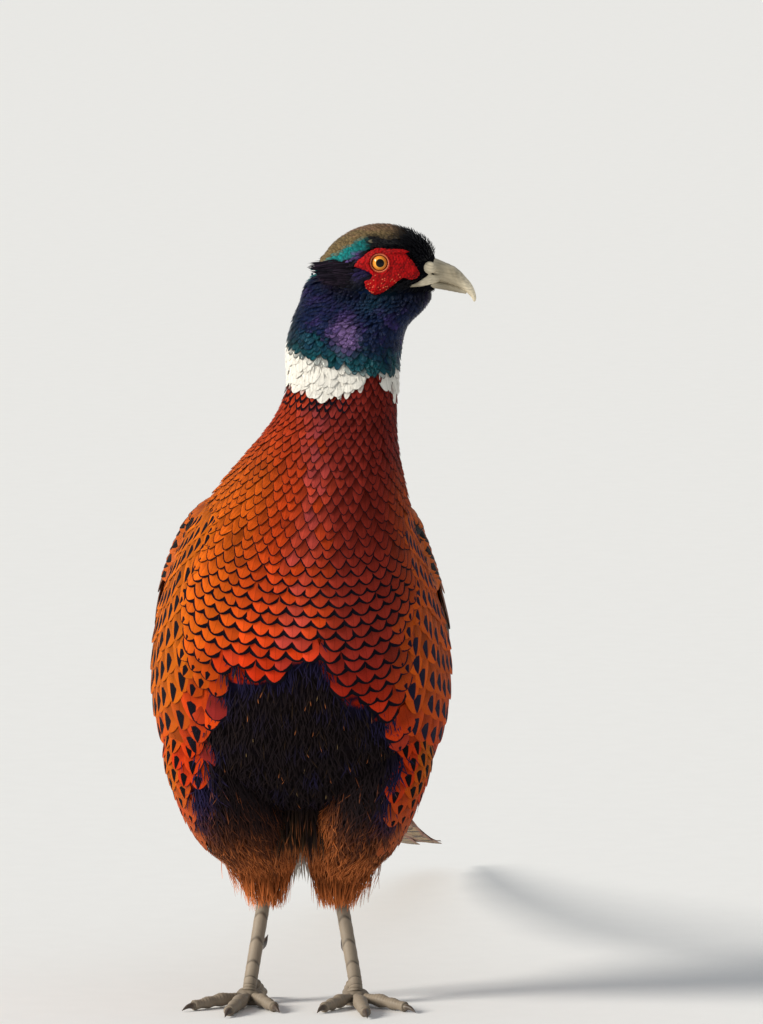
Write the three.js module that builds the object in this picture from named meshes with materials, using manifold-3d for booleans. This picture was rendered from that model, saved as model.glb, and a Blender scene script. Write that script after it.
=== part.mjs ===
// A life-size cock common pheasant standing alert, its head turned to its left.
// Millimetres, +Z up. The bird faces -Y, its left side is +X and its tail trails towards +Y.
import * as THREE from "three";
import { mergeVertices } from "three/addons/utils/BufferGeometryUtils.js";
import Module from "manifold-3d";

const wasm = await Module();
wasm.setup();

const vec = (x, y, z) => new THREE.Vector3(x, y, z);
const radians = THREE.MathUtils.degToRad;
const lerp = THREE.MathUtils.lerp;
const clamp = THREE.MathUtils.clamp;
const smooth = (low, high, x) => THREE.MathUtils.smoothstep(x, low, high);

// Driving dimensions

const GAP = 0.35; // clearance between neighbouring pieces
const VANE = 0.6; // thickness of a vane at its shaft
const EYE_AT = [44.5, -42, 404]; // centre of the head's own frame, at the level of the eyes
const HEAD_YAW = -5; // degrees that the bill points in front of +X
const TAIL_ROOT = [0, 135, 136];
const TAIL_YAW = 5.5; // degrees that the tail swings to the bird's left
const TAIL_LENGTH = 460;
const TAIL_FALL = 0.41; // slope of the tail at its root
const TAIL_CURVE = 3.15e-4; // how fast the slope eases towards the tip, per millimetre
const FOOT_SPREAD = 9; // degrees that each foot turns out

// Stations from the throat to the rump: x, y, z, half width, reach to the back, reach to the belly.
const BODY = [
  [41, -42, 402, 24, 7, 7],
  [39, -42, 391, 33, 12, 12],
  [35.5, -42, 380, 33, 18.5, 18.5],
  [27.8, -42, 368, 29.8, 22.5, 23],
  [24.8, -43, 353, 29.3, 25, 26],
  [24.5, -44, 337, 28.7, 27, 28],
  [20.5, -44, 319, 32, 30, 32],
  [13.5, -43, 299, 40.5, 37, 41],
  [7, -37, 277, 51, 45, 50],
  [1.5, -27, 253, 61, 53, 58],
  [-0.5, -11, 227, 70, 60, 69],
  [-1.5, 12, 201, 77, 62, 80],
  [-1.5, 40, 177, 79, 56, 82],
  [-1, 70, 158, 68, 46, 66],
  [0, 98, 146, 49, 32, 43],
  [0, 118, 140.5, 36, 21, 26],
  [0, 135, 136, 25, 13.5, 15],
  [1.5, 151, 129, 20, 10, 11],
  [2.5, 163, 124, 10, 4, 5],
];
const TAIL_STATION = 16; // where the rump ends and the tail's own root begins
// The folded wings follow the body as far as the hips and then run on past the rump.
const WING_REAR = [
  [0, 71, 156, 69, 48, 64],
  [0, 102, 142, 57, 42, 52],
  [0, 132, 129, 45, 36, 42],
  [0, 160, 117, 36, 31, 34],
  [0, 188, 105, 30, 27, 28],
];
// Stations of the head from the nape to the bill, in the head's frame: forward, left, up, half width, reach up
// and reach down.
const HEAD = [
  [-32.5, 0, -6, 4, 5, 5],
  [-29.5, 0, -5, 9.5, 7, 8],
  [-24, 0, -4, 13.3, 12.6, 18],
  [-15, 0, -3, 16, 17.5, 22],
  [-5, 0, -2, 17, 19.6, 23],
  [5, 0, -2, 16.6, 19.8, 23],
  [14, 0, -2.5, 14.8, 18.2, 21],
  [21, 0, -3.5, 12.2, 16.2, 16.5],
  [26, 0, -5, 9.6, 13.6, 12.5],
  [28.8, 0, -7, 7.6, 9.5, 10],
  [31, 0, -9, 4.5, 5, 6],
];
// Stations of the upper bill from inside the forehead to the hooked tip.
const BILL_UPPER = [
  [20, 0, -4.5, 6.4, 7, 7],
  [27, 0, -5.8, 6.6, 6.4, 7],
  [32, 0, -7, 6.1, 5.6, 6.2],
  [37.5, 0, -9, 5.2, 5.1, 5.2],
  [42.5, 0, -12, 4.1, 3.7, 3.9],
  [46.5, 0, -15.4, 2.9, 2.6, 2.6],
  [49, 0, -19.2, 1.7, 1.5, 1.4],
  [49.8, 0, -22.4, 0.7, 0.7, 0.6],
];
// Stations of the lower bill, which the upper one overhangs.
const BILL_LOWER = [
  [19, 0, -12.6, 6.6, 2, 2.4],
  [27, 0, -13.6, 6, 2.1, 2.5],
  [35, 0, -15, 4.7, 2, 2.3],
  [42, 0, -16.8, 3.3, 1.7, 1.8],
  [45.6, 0, -18.2, 1.6, 1, 1],
];

const EYEBALL = 6.1;
const EYE_OUT = 12.3; // how far out from the middle of the head each eyeball sits
const LID = { ring: 4.9, thick: 0.8, out: 17.9 };
// The red face patch in profile: forward and up from the eye.
const WATTLE = [
  [-14, -2],
  [-8.5, 3.6],
  [-3, 7.6],
  [4, 7.4],
  [11, 6],
  [16, 2.4],
  [19.5, -3],
  [20.8, -6.4],
  [17.5, -9.2],
  [12, -7.6],
  [8, -11],
  [3, -14.6],
  [-1.5, -17],
  [-5, -16],
  [-8.8, -10.5],
  [-5, -8.6],
  [-3.6, -6],
  [-8.5, -3.6],
];

// Where the head meets the neck, at the chin and the nape: forward, up.
const THROAT = [
  [26, -26],
  [-35, -14],
];
// Folds of the face patch: forward, up, outward, and half its length and height.
const FOLDS = [
  [8, 6, 15.2, 8, 1.5],
  [16.5, -4.5, 13.2, 3, 4.4],
  [-1.5, -13.2, 15, 5.2, 2.6],
  [-9.5, 0.4, 15.6, 3.6, 2.3],
];
const BULBS = 5;
const COLLAR = { x: 24.5, y: -43, level: 351.5, tilt: 7, width: 16, pinch: 13, pinchAt: -55, reach: 14 };

// Outline of the dark belly patch, seen from the front: x, z.
const BELLY = [
  [-44, 180],
  [-14, 187],
  [20, 187],
  [38, 172],
  [53, 140],
  [50, 100],
  [30, 62],
  [-30, 62],
  [-50, 100],
  [-56, 140],
];
// The folded wing's flesh, in stations down the body and degrees from the middle of the back, and how far it
// stands off the body at each station.
const WING = { from: 8.6, to: 12.9, top: 24, foot: 76, rest: 1.4 };
const WING_DEPTH = [
  [8.6, 1.3],
  [9.1, 4.4],
  [9.6, 4.2],
  [10.2, 3.8],
  [11, 3],
  [11.8, 2.1],
  [12.9, 1.4],
];
// Its tiers from the body outwards are the primaries, the secondaries, the greater and the lesser coverts: how many
// vanes, the stations of their roots and tips, the degrees of the first and the last, how far their tips stand off
// the body, half width, steps along and how blunt the tips are.
const WING_TIERS = [
  { count: 4, root: 11.2, tip: 15.3, first: 42, last: 66, lift: 2.1, half: 9.5, steps: 4, blunt: 3 },
  { count: 5, root: 10.4, tip: 13.8, first: 32, last: 66, lift: 3.2, half: 9.8, steps: 3, blunt: 5 },
  { count: 4, root: 9.6, tip: 12, first: 34, last: 66, lift: 4.4, half: 9.4, steps: 2, blunt: 5 },
  { count: 4, root: 8.9, tip: 10.6, first: 36, last: 64, lift: 5.8, half: 9, steps: 2, blunt: 4 },
];
const SHINGLE = 0.06; // slope across each wing feather, so that each lies over the next one down
const WING_SUNK = 0.5; // how far up in the flesh their roots lie
// The tail's feathers in pairs from the middle out, as shares of its length, and the depth of each layer.
const RECTRICES = [1, 0.93, 0.8, 0.66, 0.54, 0.45, 0.38, 0.33, 0.29];
const TAIL_LAYER = 0.75;
const TAIL_ROOT_MESH = [12, 1.2];
// The coverts over and under the tail's root. The middle one is the outermost, and the next ones lie deeper in.
const TAIL_COVERTS = [
  { count: 5, length: 95, half: 8.5, lower: -7.6, layer: 1.9, from: 6 },
  { count: 3, length: 72, half: 8.2, lower: 14.4, layer: -1.9, from: 3 },
];

const LEFT = 1;
const RIGHT = -1;
// Stations of the feathered thighs, from the flank down to the hock: x, y, z, half width, reach to the back and
// reach to the front.
const THIGH = {
  [LEFT]: [
    [40, 2, 152, 28, 30, 32],
    [39.5, 6, 134, 30, 33, 34],
    [36.5, 12, 118, 28.5, 33, 33],
    [31, 20, 102, 27, 29, 30],
    [26, 28, 87, 25.5, 23, 25],
    [21, 34, 73, 20.5, 18, 18],
    [17.5, 39, 61, 13, 11, 11],
  ],
  [RIGHT]: [
    [-44, 2, 152, 28, 30, 32],
    [-42.5, 6, 134, 31, 33, 34],
    [-39.5, 12, 118, 29.5, 33, 33],
    [-34.5, 20, 102, 28.5, 29, 30],
    [-29.5, 28, 88, 27, 23, 25],
    [-24.5, 34, 75, 21, 18, 18],
    [-21, 39, 64, 13, 11, 11],
  ],
};
const THIGH_LOCKS = [
  { count: 5, station: 3.6, reach: 1.2, drop: 1, half: 8 },
  { count: 7, station: 5, reach: 0.9, drop: 5.5, half: 5.6 },
];
const HOCK = { [LEFT]: [17, 43, 66], [RIGHT]: [-20, 42, 69] };
const SCUTES = 11;
const SCUTE_STEP = 0.55;
const FOOT_AT = { [LEFT]: [28, 19, 0], [RIGHT]: [-29, 19, 0] };
// The pad that the toes spread from: radius and height, from the ground up.
const PAD = [
  [6.2, 0],
  [7.6, 1.6],
  [7.6, 4.6],
  [5.8, 7.2],
  [3.6, 8.4],
];
const TOES = [
  { name: "inner", turn: -34, length: 36, wide: 3.7 },
  { name: "middle", turn: 0, length: 49, wide: 4 },
  { name: "outer", turn: 35, length: 40, wide: 3.6 },
];
const HALLUX = { name: "hind", length: 15, wide: 2.9, rise: 11 };

const COLOURS = {
  crown: [0x4a4a2c, 0.6],
  iridescent: [0x14304a, 0.35],
  white: [0xece6dc, 0.8],
  copper: [0xa23c1c, 0.55],
  belly: [0x1c1618, 0.75],
  mantle: [0xb06a2c, 0.6],
  rump: [0x6a6a4e, 0.65],
  vent: [0x2a1a14, 0.8],
  wing: [0x8d7c5e, 0.65],
  tail: [0x8a6a3e, 0.6],
  thigh: [0x6b3418, 0.8],
  horn: [0xb8a47c, 0.4],
  wattle: [0xc01018, 0.6],
  eye: [0xd08a2c, 0.1],
  leg: [0x77706a, 0.55],
  claw: [0x3a322c, 0.4],
};

// Shape makers

// A closed solid from a triangle soup whose corners meet; it is turned to face out.
function solid(geometry) {
  const plain = geometry.clone();
  plain.deleteAttribute("normal");
  plain.deleteAttribute("uv");
  const merged = mergeVertices(plain, 1e-4);
  const vertProperties = new Float32Array(merged.attributes.position.array);
  const triVerts = new Uint32Array(merged.index.array);
  const made = new wasm.Manifold(new wasm.Mesh({ numProp: 3, vertProperties, triVerts }));
  if (made.volume() > 0) return made;
  for (let i = 0; i < triVerts.length; i += 3) {
    [triVerts[i + 1], triVerts[i + 2]] = [triVerts[i + 2], triVerts[i + 1]];
  }
  return new wasm.Manifold(new wasm.Mesh({ numProp: 3, vertProperties, triVerts }));
}

function indexed(points, index) {
  const geometry = new THREE.BufferGeometry().setFromPoints(points);
  geometry.setIndex(index);
  return geometry;
}

// Joins rings of equal count into a closed tube with a fan over each end. flip picks each side's diagonal.
function tube(rings, flip = () => false) {
  const count = rings[0].length;
  const points = rings.flat();
  const index = [];
  for (let j = 0; j + 1 < rings.length; j++) {
    for (let k = 0; k < count; k++) {
      const a = j * count + k;
      const b = j * count + ((k + 1) % count);
      const c = a + count;
      const d = b + count;
      index.push(...(flip(k) ? [a, b, c, b, d, c] : [a, b, d, a, d, c]));
    }
  }
  const middle = (ring) => ring.reduce((sum, p) => sum.add(p), vec(0, 0, 0)).divideScalar(count);
  points.push(middle(rings[0]), middle(rings.at(-1)));
  const first = points.length - 2;
  const start = (rings.length - 1) * count;
  for (let k = 0; k < count; k++) {
    const next = (k + 1) % count;
    index.push(next, k, first, start + k, start + next, first + 1);
  }
  return solid(indexed(points, index));
}

// A curved sheet with thickness, from two grids of rows by columns, split into triangles alike on both faces.
function slab(rows, columns, outer, inner) {
  const points = [];
  for (const face of [outer, inner]) {
    for (let i = 0; i < rows; i++) {
      for (let j = 0; j < columns; j++) points.push(face(i / (rows - 1), j / (columns - 1)));
    }
  }
  const lower = rows * columns;
  const at = (i, j) => i * columns + j;
  const index = [];
  for (let i = 0; i + 1 < rows; i++) {
    for (let j = 0; j + 1 < columns; j++) {
      const [a, b, c, d] = [at(i, j), at(i, j + 1), at(i + 1, j + 1), at(i + 1, j)];
      index.push(a, b, c, a, c, d, lower + a, lower + c, lower + b, lower + a, lower + d, lower + c);
    }
  }
  const wall = (a, b) => index.push(b, a, lower + a, b, lower + a, lower + b);
  for (let j = 0; j + 1 < columns; j++) {
    wall(at(0, j), at(0, j + 1));
    wall(at(rows - 1, j + 1), at(rows - 1, j));
  }
  for (let i = 0; i + 1 < rows; i++) {
    wall(at(i + 1, 0), at(i, 0));
    wall(at(i, columns - 1), at(i + 1, columns - 1));
  }
  return solid(indexed(points, index));
}

// A loft through stations: centre, half width, reach to the back and reach to the belly. Its sections stay
// level from side to side, and the belly's half is as full as its power says: 2 is an ellipse.
class Loft {
  constructor(stations, { across = vec(1, 0, 0), back = null, power = 2 } = {}) {
    const through = (points) => new THREE.CatmullRomCurve3(points, false, "catmullrom", 0.5);
    this.centre = through(stations.map(([x, y, z]) => vec(x, y, z)));
    this.reach = through(stations.map((s) => vec(s[3], s[4], s[5])));
    this.last = stations.length - 1;
    Object.assign(this, { across, back, power });
  }

  frame(station) {
    const u = clamp(station / this.last, 0, 1);
    const along = this.centre.getTangent(u);
    const side = this.across.clone();
    const back = this.back ?? side.clone().cross(along).normalize();
    return { centre: this.centre.getPoint(u), along, side, back, reach: this.reach.getPoint(u) };
  }

  // The point at an angle from the back towards the side, lifted off the surface.
  point(station, angle, lift = 0) {
    const { centre, side, back, reach } = this.frame(station);
    const power = Math.cos(angle) > 0 ? 2 : this.power;
    const bend = (x) => Math.sign(x) * Math.pow(Math.abs(x), 2 / power);
    const [sine, cosine] = [bend(Math.sin(angle)), bend(Math.cos(angle))];
    const depth = cosine > 0 ? reach.y : reach.z;
    const steep = (x) => Math.sign(x) * Math.pow(Math.abs(x), power - 1);
    const out = vec(0, 0, 0).addScaledVector(side, steep(sine) / reach.x);
    out.addScaledVector(back, steep(cosine) / depth);
    return centre
      .addScaledVector(side, reach.x * sine)
      .addScaledVector(back, depth * cosine)
      .addScaledVector(out.normalize(), lift);
  }

  solid(sides, perStation, lift = 0, from = 0, to = this.last) {
    const steps = Math.round((to - from) * perStation);
    const rings = [];
    for (let i = 0; i <= steps; i++) {
      const station = from + ((to - from) * i) / steps;
      const ring = [];
      for (let k = 0; k < sides; k++) ring.push(this.point(station, (2 * Math.PI * k) / sides, lift));
      rings.push(ring);
    }
    return tube(rings);
  }
}

// A flat tapered piece along a path. path(s) gives its place, its side and its upper side.
function vane(path, steps, half, thick = VANE, tilt = 0) {
  const depth = typeof thick === "function" ? thick : () => thick;
  const rings = [];
  for (let i = 0; i <= steps; i++) {
    const s = i / steps;
    const { at, side, up } = path(s);
    const w = half(s);
    const edge = tilt * w;
    rings.push([
      at.clone().addScaledVector(side, -w).addScaledVector(up, -edge),
      at.clone().addScaledVector(up, depth(s) * 0.6),
      at.clone().addScaledVector(side, w).addScaledVector(up, edge),
      at.clone().addScaledVector(up, -depth(s) * 0.4),
    ]);
  }
  return tube(rings, (k) => k % 2 === 1);
}

// The half width of a feather: a narrow quill, a full vane and a rounded or pointed tip.
const feather = (full, point) => (s) =>
  Math.max(0.5, full * Math.min(1, 0.32 + 3.2 * s) * Math.pow(1 - Math.pow(s, point), 0.62));

// A path from given points, whose pieces face up along a fixed direction.
function pathThrough(points, facing) {
  const curve = new THREE.CatmullRomCurve3(points);
  return (s) => {
    const along = curve.getTangent(s);
    const side = facing.clone().cross(along).normalize();
    return { at: curve.getPoint(s), side, up: along.cross(side).normalize() };
  };
}

// A round tapered piece along points: a toe, claw, spur or shank. squash is its depth against its width.
function limb(points, radius, sides, steps, facing, floor = -Infinity, squash = 1) {
  const path = pathThrough(points, facing);
  const rings = [];
  for (let i = 0; i <= steps; i++) {
    const { at, side, up } = path(i / steps);
    const r = radius(i / steps);
    const ring = [];
    for (let k = 0; k < sides; k++) {
      const turn = (2 * Math.PI * (k + 0.5)) / sides;
      const p = at.clone().addScaledVector(side, r * Math.cos(turn));
      p.addScaledVector(up, r * squash * Math.sin(turn));
      p.z = Math.max(p.z, floor);
      ring.push(p);
    }
    rings.push(ring);
  }
  return tube(rings);
}

function ball(x, y, z, rx, ry = rx, rz = rx, detail = [14, 10]) {
  const geometry = new THREE.SphereGeometry(1, ...detail);
  geometry.scale(rx, ry, rz).translate(x, y, z);
  return solid(geometry);
}

// An outline extruded through the whole part. lay turns its plane into place.
function prism(outline, depth, lay) {
  const geometry = new THREE.ExtrudeGeometry(outline, { depth, bevelEnabled: false, curveSegments: 6 });
  geometry.translate(0, 0, -depth / 2);
  lay(geometry);
  return solid(geometry);
}

const union = (solids) => solids.reduce((sum, s) => sum.add(s));
const largest = (made) => made.decompose().reduce((best, s) => (s.volume() > best.volume() ? s : best));

// Frames

const bird = new THREE.Group();
const headGroup = new THREE.Group();
headGroup.position.set(...EYE_AT);
headGroup.rotation.z = radians(HEAD_YAW);
bird.add(headGroup);
const footGroups = {};
for (const side of [LEFT, RIGHT]) {
  footGroups[side] = new THREE.Group();
  footGroups[side].position.set(...FOOT_AT[side]);
  footGroups[side].rotation.z = radians(FOOT_SPREAD * side);
  bird.add(footGroups[side]);
}
bird.updateMatrixWorld(true);

const inBird = (group, made) => made.transform(group.matrixWorld.elements);
const inGroup = (group, made) => made.transform(group.matrixWorld.clone().invert().elements);
const labelOf = (side) => (side === LEFT ? "left" : "right");

function material(name) {
  const [color, roughness] = COLOURS[name];
  return new THREE.MeshStandardMaterial({ color, roughness, metalness: 0 });
}

function place(name, made, finish, group = bird) {
  const { numVert, numProp, vertProperties, triVerts } = largest(made).getMesh();
  const position = new Float32Array(numVert * 3);
  for (let i = 0; i < numVert; i++) {
    position.set(vertProperties.subarray(i * numProp, i * numProp + 3), i * 3);
  }
  const geometry = new THREE.BufferGeometry();
  geometry.setAttribute("position", new THREE.BufferAttribute(position, 3));
  geometry.setIndex(new THREE.BufferAttribute(new Uint32Array(triVerts), 1));
  geometry.computeVertexNormals();
  const mesh = new THREE.Mesh(geometry, material(finish));
  mesh.name = name;
  group.add(mesh);
}

const bodyLoft = new Loft(BODY, { power: 2.7 });
const BODY_MESH = [28, 1.5]; // corners round the body, and sections to a station

// Head: the skull's outline with its eye sockets and ear tufts, the face patches and the bill

const headLoft = new Loft(HEAD, { across: vec(0, -1, 0), back: vec(0, 0, 1), power: 2.3 });
const headSolid = (lift) => headLoft.solid(18, 1.4, lift);
const eyeball = (side, lift = 0) => {
  const radius = EYEBALL + lift;
  return ball(0, side * EYE_OUT, 0, radius, radius, radius, [14, 8]);
};

// Everything over the plane from the chin to the nape, where the head meets the neck.
function aboveThroat(offset) {
  const [chin, nape] = THROAT.map(([f, u]) => vec(f, 0, u));
  const along = chin.clone().sub(nape).normalize();
  const block = new THREE.BoxGeometry(300, 300, 200).translate(0, 0, 100 + offset);
  block.applyQuaternion(new THREE.Quaternion().setFromUnitVectors(vec(1, 0, 0), along));
  return solid(block.translate(...nape.toArray()));
}

// Ear tuft: narrow pointed feathers that stand back past the nape.
function earTuft(side) {
  const locks = [];
  for (let i = 0; i < 3; i++) {
    const root = headLoft.point(2, side * radians(-94 - 7 * i), -2.5);
    const tip = vec(-38 + 2.8 * i, side * (12.6 - i), -5.2 - 2.6 * i);
    const bend = root.clone().lerp(tip, 0.55).add(vec(0, side * 2.2, 0.4));
    const path = pathThrough([root, bend, tip], vec(0, side, 0.25));
    locks.push(vane(path, 3, (s) => Math.max(0.35, 2.2 * Math.sqrt(1 - s)), 1.2));
  }
  return locks;
}

// The face patch's outline through the head from one side, grown by a margin.
function facePatch(side, margin = 0) {
  const middle = new THREE.Vector2(4, -4);
  const points = WATTLE.map(([f, u]) => {
    const away = new THREE.Vector2(f, u).sub(middle);
    return away.setLength(away.length() + margin).add(middle);
  });
  const outline = new THREE.SplineCurve([...points, points[0]]).getPoints(24).slice(0, -1);
  return prism(new THREE.Shape(outline), 40, (g) => g.rotateX(Math.PI / 2).translate(0, side * 22, 0));
}

function wattle(side) {
  const skin = headSolid(1.5).intersect(facePatch(side));
  const lid = new THREE.TorusGeometry(LID.ring, LID.thick, 5, 12);
  lid.rotateX(Math.PI / 2).translate(0, side * LID.out, 0);
  const folds = FOLDS.map(([f, u, out, rf, ru]) => ball(f, side * out, u, rf, 2.4, ru, [6, 4]));
  const bulbs = [];
  for (let i = 0; i < BULBS; i++) {
    const row = i % 2;
    bulbs.push(ball(-3.5 + 2 * i, side * 16.6, -10.4 - 2.6 * row + 0.3 * i, 1.4, 1.4, 1.4, [5, 4]));
  }
  return union([skin, solid(lid), ...folds, ...bulbs]).subtract(headSolid(GAP)).subtract(eyeball(side, GAP));
}

const upperLoft = new Loft(BILL_UPPER, { across: vec(0, -1, 0) });
const lowerLoft = new Loft(BILL_LOWER, { across: vec(0, -1, 0) });

// The swelling over a nostril, and the strip that runs back to the corner of the mouth.
const operculum = (side, lift = 0) => ball(27.4, side * 5.2, -2.4, 4.3 + lift, 2.6 + lift, 3.2 + lift, [8, 5]);
const nostril = (side) => ball(30.6, side * 6.8, -5.5, 2, 1.3, 0.8, [6, 4]);
function gape(side, lift = 0) {
  const corner = [vec(31, side * 4.6, -12), vec(23, side * 8.9, -12.2), vec(14.6 - lift, side * 14, -12.8)];
  return vane(pathThrough(corner, vec(0, side, 0)), 3, (s) => 2.7 * (1 - s) + 0.5 + lift, 2.6 + 3 * lift);
}

const upperBill = (lift = 0) => union([
  upperLoft.solid(10, 1.43, lift),
  ...[LEFT, RIGHT].flatMap((side) => [operculum(side, lift), gape(side, lift)]),
]);
const lowerBill = (lift = 0) => lowerLoft.solid(8, 1.5, lift);

function head() {
  const skull = headSolid(GAP);
  const faceRoom = union([LEFT, RIGHT].map((side) => headSolid(4.6).intersect(facePatch(side, GAP))));
  const nostrils = union([nostril(LEFT), nostril(RIGHT)]);
  place("bill_upper", upperBill().subtract(nostrils).subtract(skull), "horn", headGroup);
  place("bill_lower", lowerBill().subtract(upperBill(GAP)).subtract(skull), "horn", headGroup);
  const throat = inGroup(headGroup, bodyLoft.solid(...BODY_MESH)).subtract(faceRoom);
  const feathered = union([throat, headSolid(0), ...earTuft(LEFT), ...earTuft(RIGHT)]);
  let made = feathered.intersect(aboveThroat(GAP / 2));
  for (const side of [LEFT, RIGHT]) {
    place(`eye_${labelOf(side)}`, eyeball(side), "eye", headGroup);
    place(`wattle_${labelOf(side)}`, wattle(side).subtract(upperBill(GAP)), "wattle", headGroup);
    made = made.subtract(eyeball(side, GAP));
  }
  place("head", made, "crown", headGroup);
}

// Body: one loft, parted into the neck, collar and the torso's feather regions

const wingLoft = new Loft([...BODY.slice(0, 13), ...WING_REAR], { power: 2.7 });

// Everything above a wavy level round the neck. The surface is a fan from the neck's middle out to a ring that
// is twice as wide as the neck, so the ring waves twice as far.
function aboveNeck(levelAt, mean, offset) {
  const ringAt = (height) => Array.from({ length: 24 }, (_, k) => {
    const turn = (2 * Math.PI * k) / 24;
    const wave = mean + 2 * (levelAt(turn) - mean);
    return vec(COLLAR.x + 57 * Math.cos(turn), COLLAR.y + 57 * Math.sin(turn), height ?? wave + offset);
  });
  return tube([ringAt(470), ringAt()]);
}

function collarTop(turn) {
  return COLLAR.level - COLLAR.tilt * Math.cos(turn + radians(40));
}

function collarFoot(turn) {
  const off = THREE.MathUtils.euclideanModulo(turn - radians(COLLAR.pinchAt) + Math.PI, 2 * Math.PI) - Math.PI;
  const pinch = COLLAR.pinch * Math.exp(-((off / radians(COLLAR.reach)) ** 2));
  return collarTop(turn) - COLLAR.width + pinch;
}

// The region behind a line that runs down the body's side from the nape to the tail.
function dorsalRegion(offset) {
  const line = [];
  for (let station = 5; station <= 16; station++) {
    const { centre, back, reach } = bodyLoft.frame(station);
    centre.addScaledVector(back, 0.42 * reach.y + offset);
    line.push(new THREE.Vector2(centre.y, centre.z));
  }
  const tail = line.at(-1);
  const outline = new THREE.Shape([
    new THREE.Vector2(line[0].x - 10, 430),
    ...line,
    new THREE.Vector2(tail.x + 80, tail.y - 12),
    new THREE.Vector2(tail.x + 80, 430),
  ]);
  return prism(outline, 400, (g) => g.rotateX(Math.PI / 2).rotateZ(Math.PI / 2));
}

// Everything past a section of the body, towards the tail.
function pastStation(station, offset) {
  const { centre, along } = bodyLoft.frame(station);
  const block = new THREE.BoxGeometry(400, 400, 400).translate(0, 0, 200 + offset);
  block.applyQuaternion(new THREE.Quaternion().setFromUnitVectors(vec(0, 0, 1), along));
  return solid(block.translate(...centre.toArray()));
}

// The dark patch of the belly, seen from the front.
function bellyRegion(offset) {
  const outline = BELLY.map(([x, z]) => {
    const away = new THREE.Vector2(x, z - 125);
    return away.setLength(away.length() + offset).add(new THREE.Vector2(0, 125));
  });
  const curve = new THREE.SplineCurve([...outline, outline[0]]);
  const shape = new THREE.Shape(curve.getPoints(24).slice(0, -1));
  return prism(shape, 230, (g) => g.rotateX(Math.PI / 2).translate(0, -75 + offset, 0));
}

function torso() {
  const whole = bodyLoft.solid(...BODY_MESH);
  const top = (offset) => aboveNeck(collarTop, COLLAR.level, offset);
  const foot = (offset) => aboveNeck(collarFoot, COLLAR.level - COLLAR.width, offset);
  const skull = inBird(headGroup, aboveThroat(-GAP / 2));
  place("neck", whole.intersect(top(GAP / 2)).subtract(skull), "iridescent");
  place("collar", whole.intersect(foot(GAP / 2)).subtract(top(-GAP / 2)), "white");

  const rest = whole.subtract(foot(-GAP / 2)).subtract(pastStation(TAIL_STATION, -GAP / 2));
  const back = rest.intersect(dorsalRegion(GAP / 2));
  place("mantle", back.subtract(pastStation(12.6, -GAP / 2)), "mantle");
  place("rump", back.intersect(pastStation(12.6, GAP / 2)), "rump");

  const front = rest.subtract(dorsalRegion(-GAP / 2));
  place("vent", front.intersect(pastStation(13.2, GAP / 2)), "vent");
  const chest = front.subtract(pastStation(13.2, -GAP / 2));
  place("belly", chest.intersect(bellyRegion(-GAP / 2)), "belly");
  place("breast", chest.subtract(bellyRegion(GAP / 2)), "copper");
}

// Wings: tiers of vanes over a core that is thick at the shoulder

// A path over the body's side from one place to another, each a station, an angle in degrees and a lift. Its
// side points down the body, so both wings are shingled alike.
function overBody(side, from, to) {
  const at = (s, above = 0) => wingLoft.point(
    lerp(from.station, to.station, s),
    side * radians(lerp(from.angle, to.angle, s)),
    lerp(from.lift, to.lift, s) + above,
  );
  return (s) => {
    const here = at(s);
    const along = at(s + 0.01).sub(at(s - 0.01)).normalize();
    const up = at(s, 1).sub(here).normalize();
    return { at: here, side: along.clone().cross(up).multiplyScalar(side).normalize(), up };
  };
}

function wingDepth(station) {
  const k = Math.max(1, WING_DEPTH.findIndex(([at]) => at >= station));
  const [[from, low], [to, high]] = [WING_DEPTH[k - 1], WING_DEPTH[k]];
  return lerp(low, high, clamp((station - from) / (to - from), 0, 1));
}

function wing(side) {
  const face = (depth) => (i, j) => {
    const station = lerp(WING.from, WING.to, i);
    const angle = side * radians(lerp(WING.top, WING.foot, side === LEFT ? j : 1 - j));
    const round = Math.pow(Math.sin(Math.PI * clamp(j, 0.04, 0.96)), 0.25);
    return wingLoft.point(station, angle, WING.rest + depth(station) * round);
  };
  const pieces = [slab(6, 5, face(wingDepth), face(() => 0))];
  for (const { count, root, tip, first, last, lift, half, steps, blunt } of WING_TIERS) {
    for (let i = 0; i < count; i++) {
      const share = i / (count - 1);
      const angle = lerp(first, last, share);
      const end = tip - 0.5 * Math.abs(share - 0.3) * (tip - root) * 0.4;
      const sunk = WING.rest + WING_SUNK * wingDepth(root);
      const from = { station: root, angle, lift: sunk };
      const path = overBody(side, from, { station: end, angle: angle - 1, lift });
      pieces.push(vane(path, steps, feather(half, blunt), VANE, SHINGLE));
    }
  }
  return union(pieces);
}

// Tail

const tailSide = vec(Math.cos(radians(TAIL_YAW)), -Math.sin(radians(TAIL_YAW)), 0);
const tailAway = vec(Math.sin(radians(TAIL_YAW)), Math.cos(radians(TAIL_YAW)), 0);

// A feather's path along the tail: its offset across, splay in degrees, depth, length and start.
function tailPath({ across, splay, lower, length, from }) {
  const at = (s) => {
    const d = from + s * length;
    const here = vec(...TAIL_ROOT).addScaledVector(tailAway, d);
    here.addScaledVector(tailSide, across + Math.tan(radians(splay)) * d);
    here.z -= TAIL_FALL * d - TAIL_CURVE * d * d + lower;
    return here;
  };
  return (s) => {
    const along = at(s + 0.01).sub(at(s - 0.01)).normalize();
    return { at: at(s), side: tailSide, up: tailSide.clone().cross(along).normalize() };
  };
}

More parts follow.
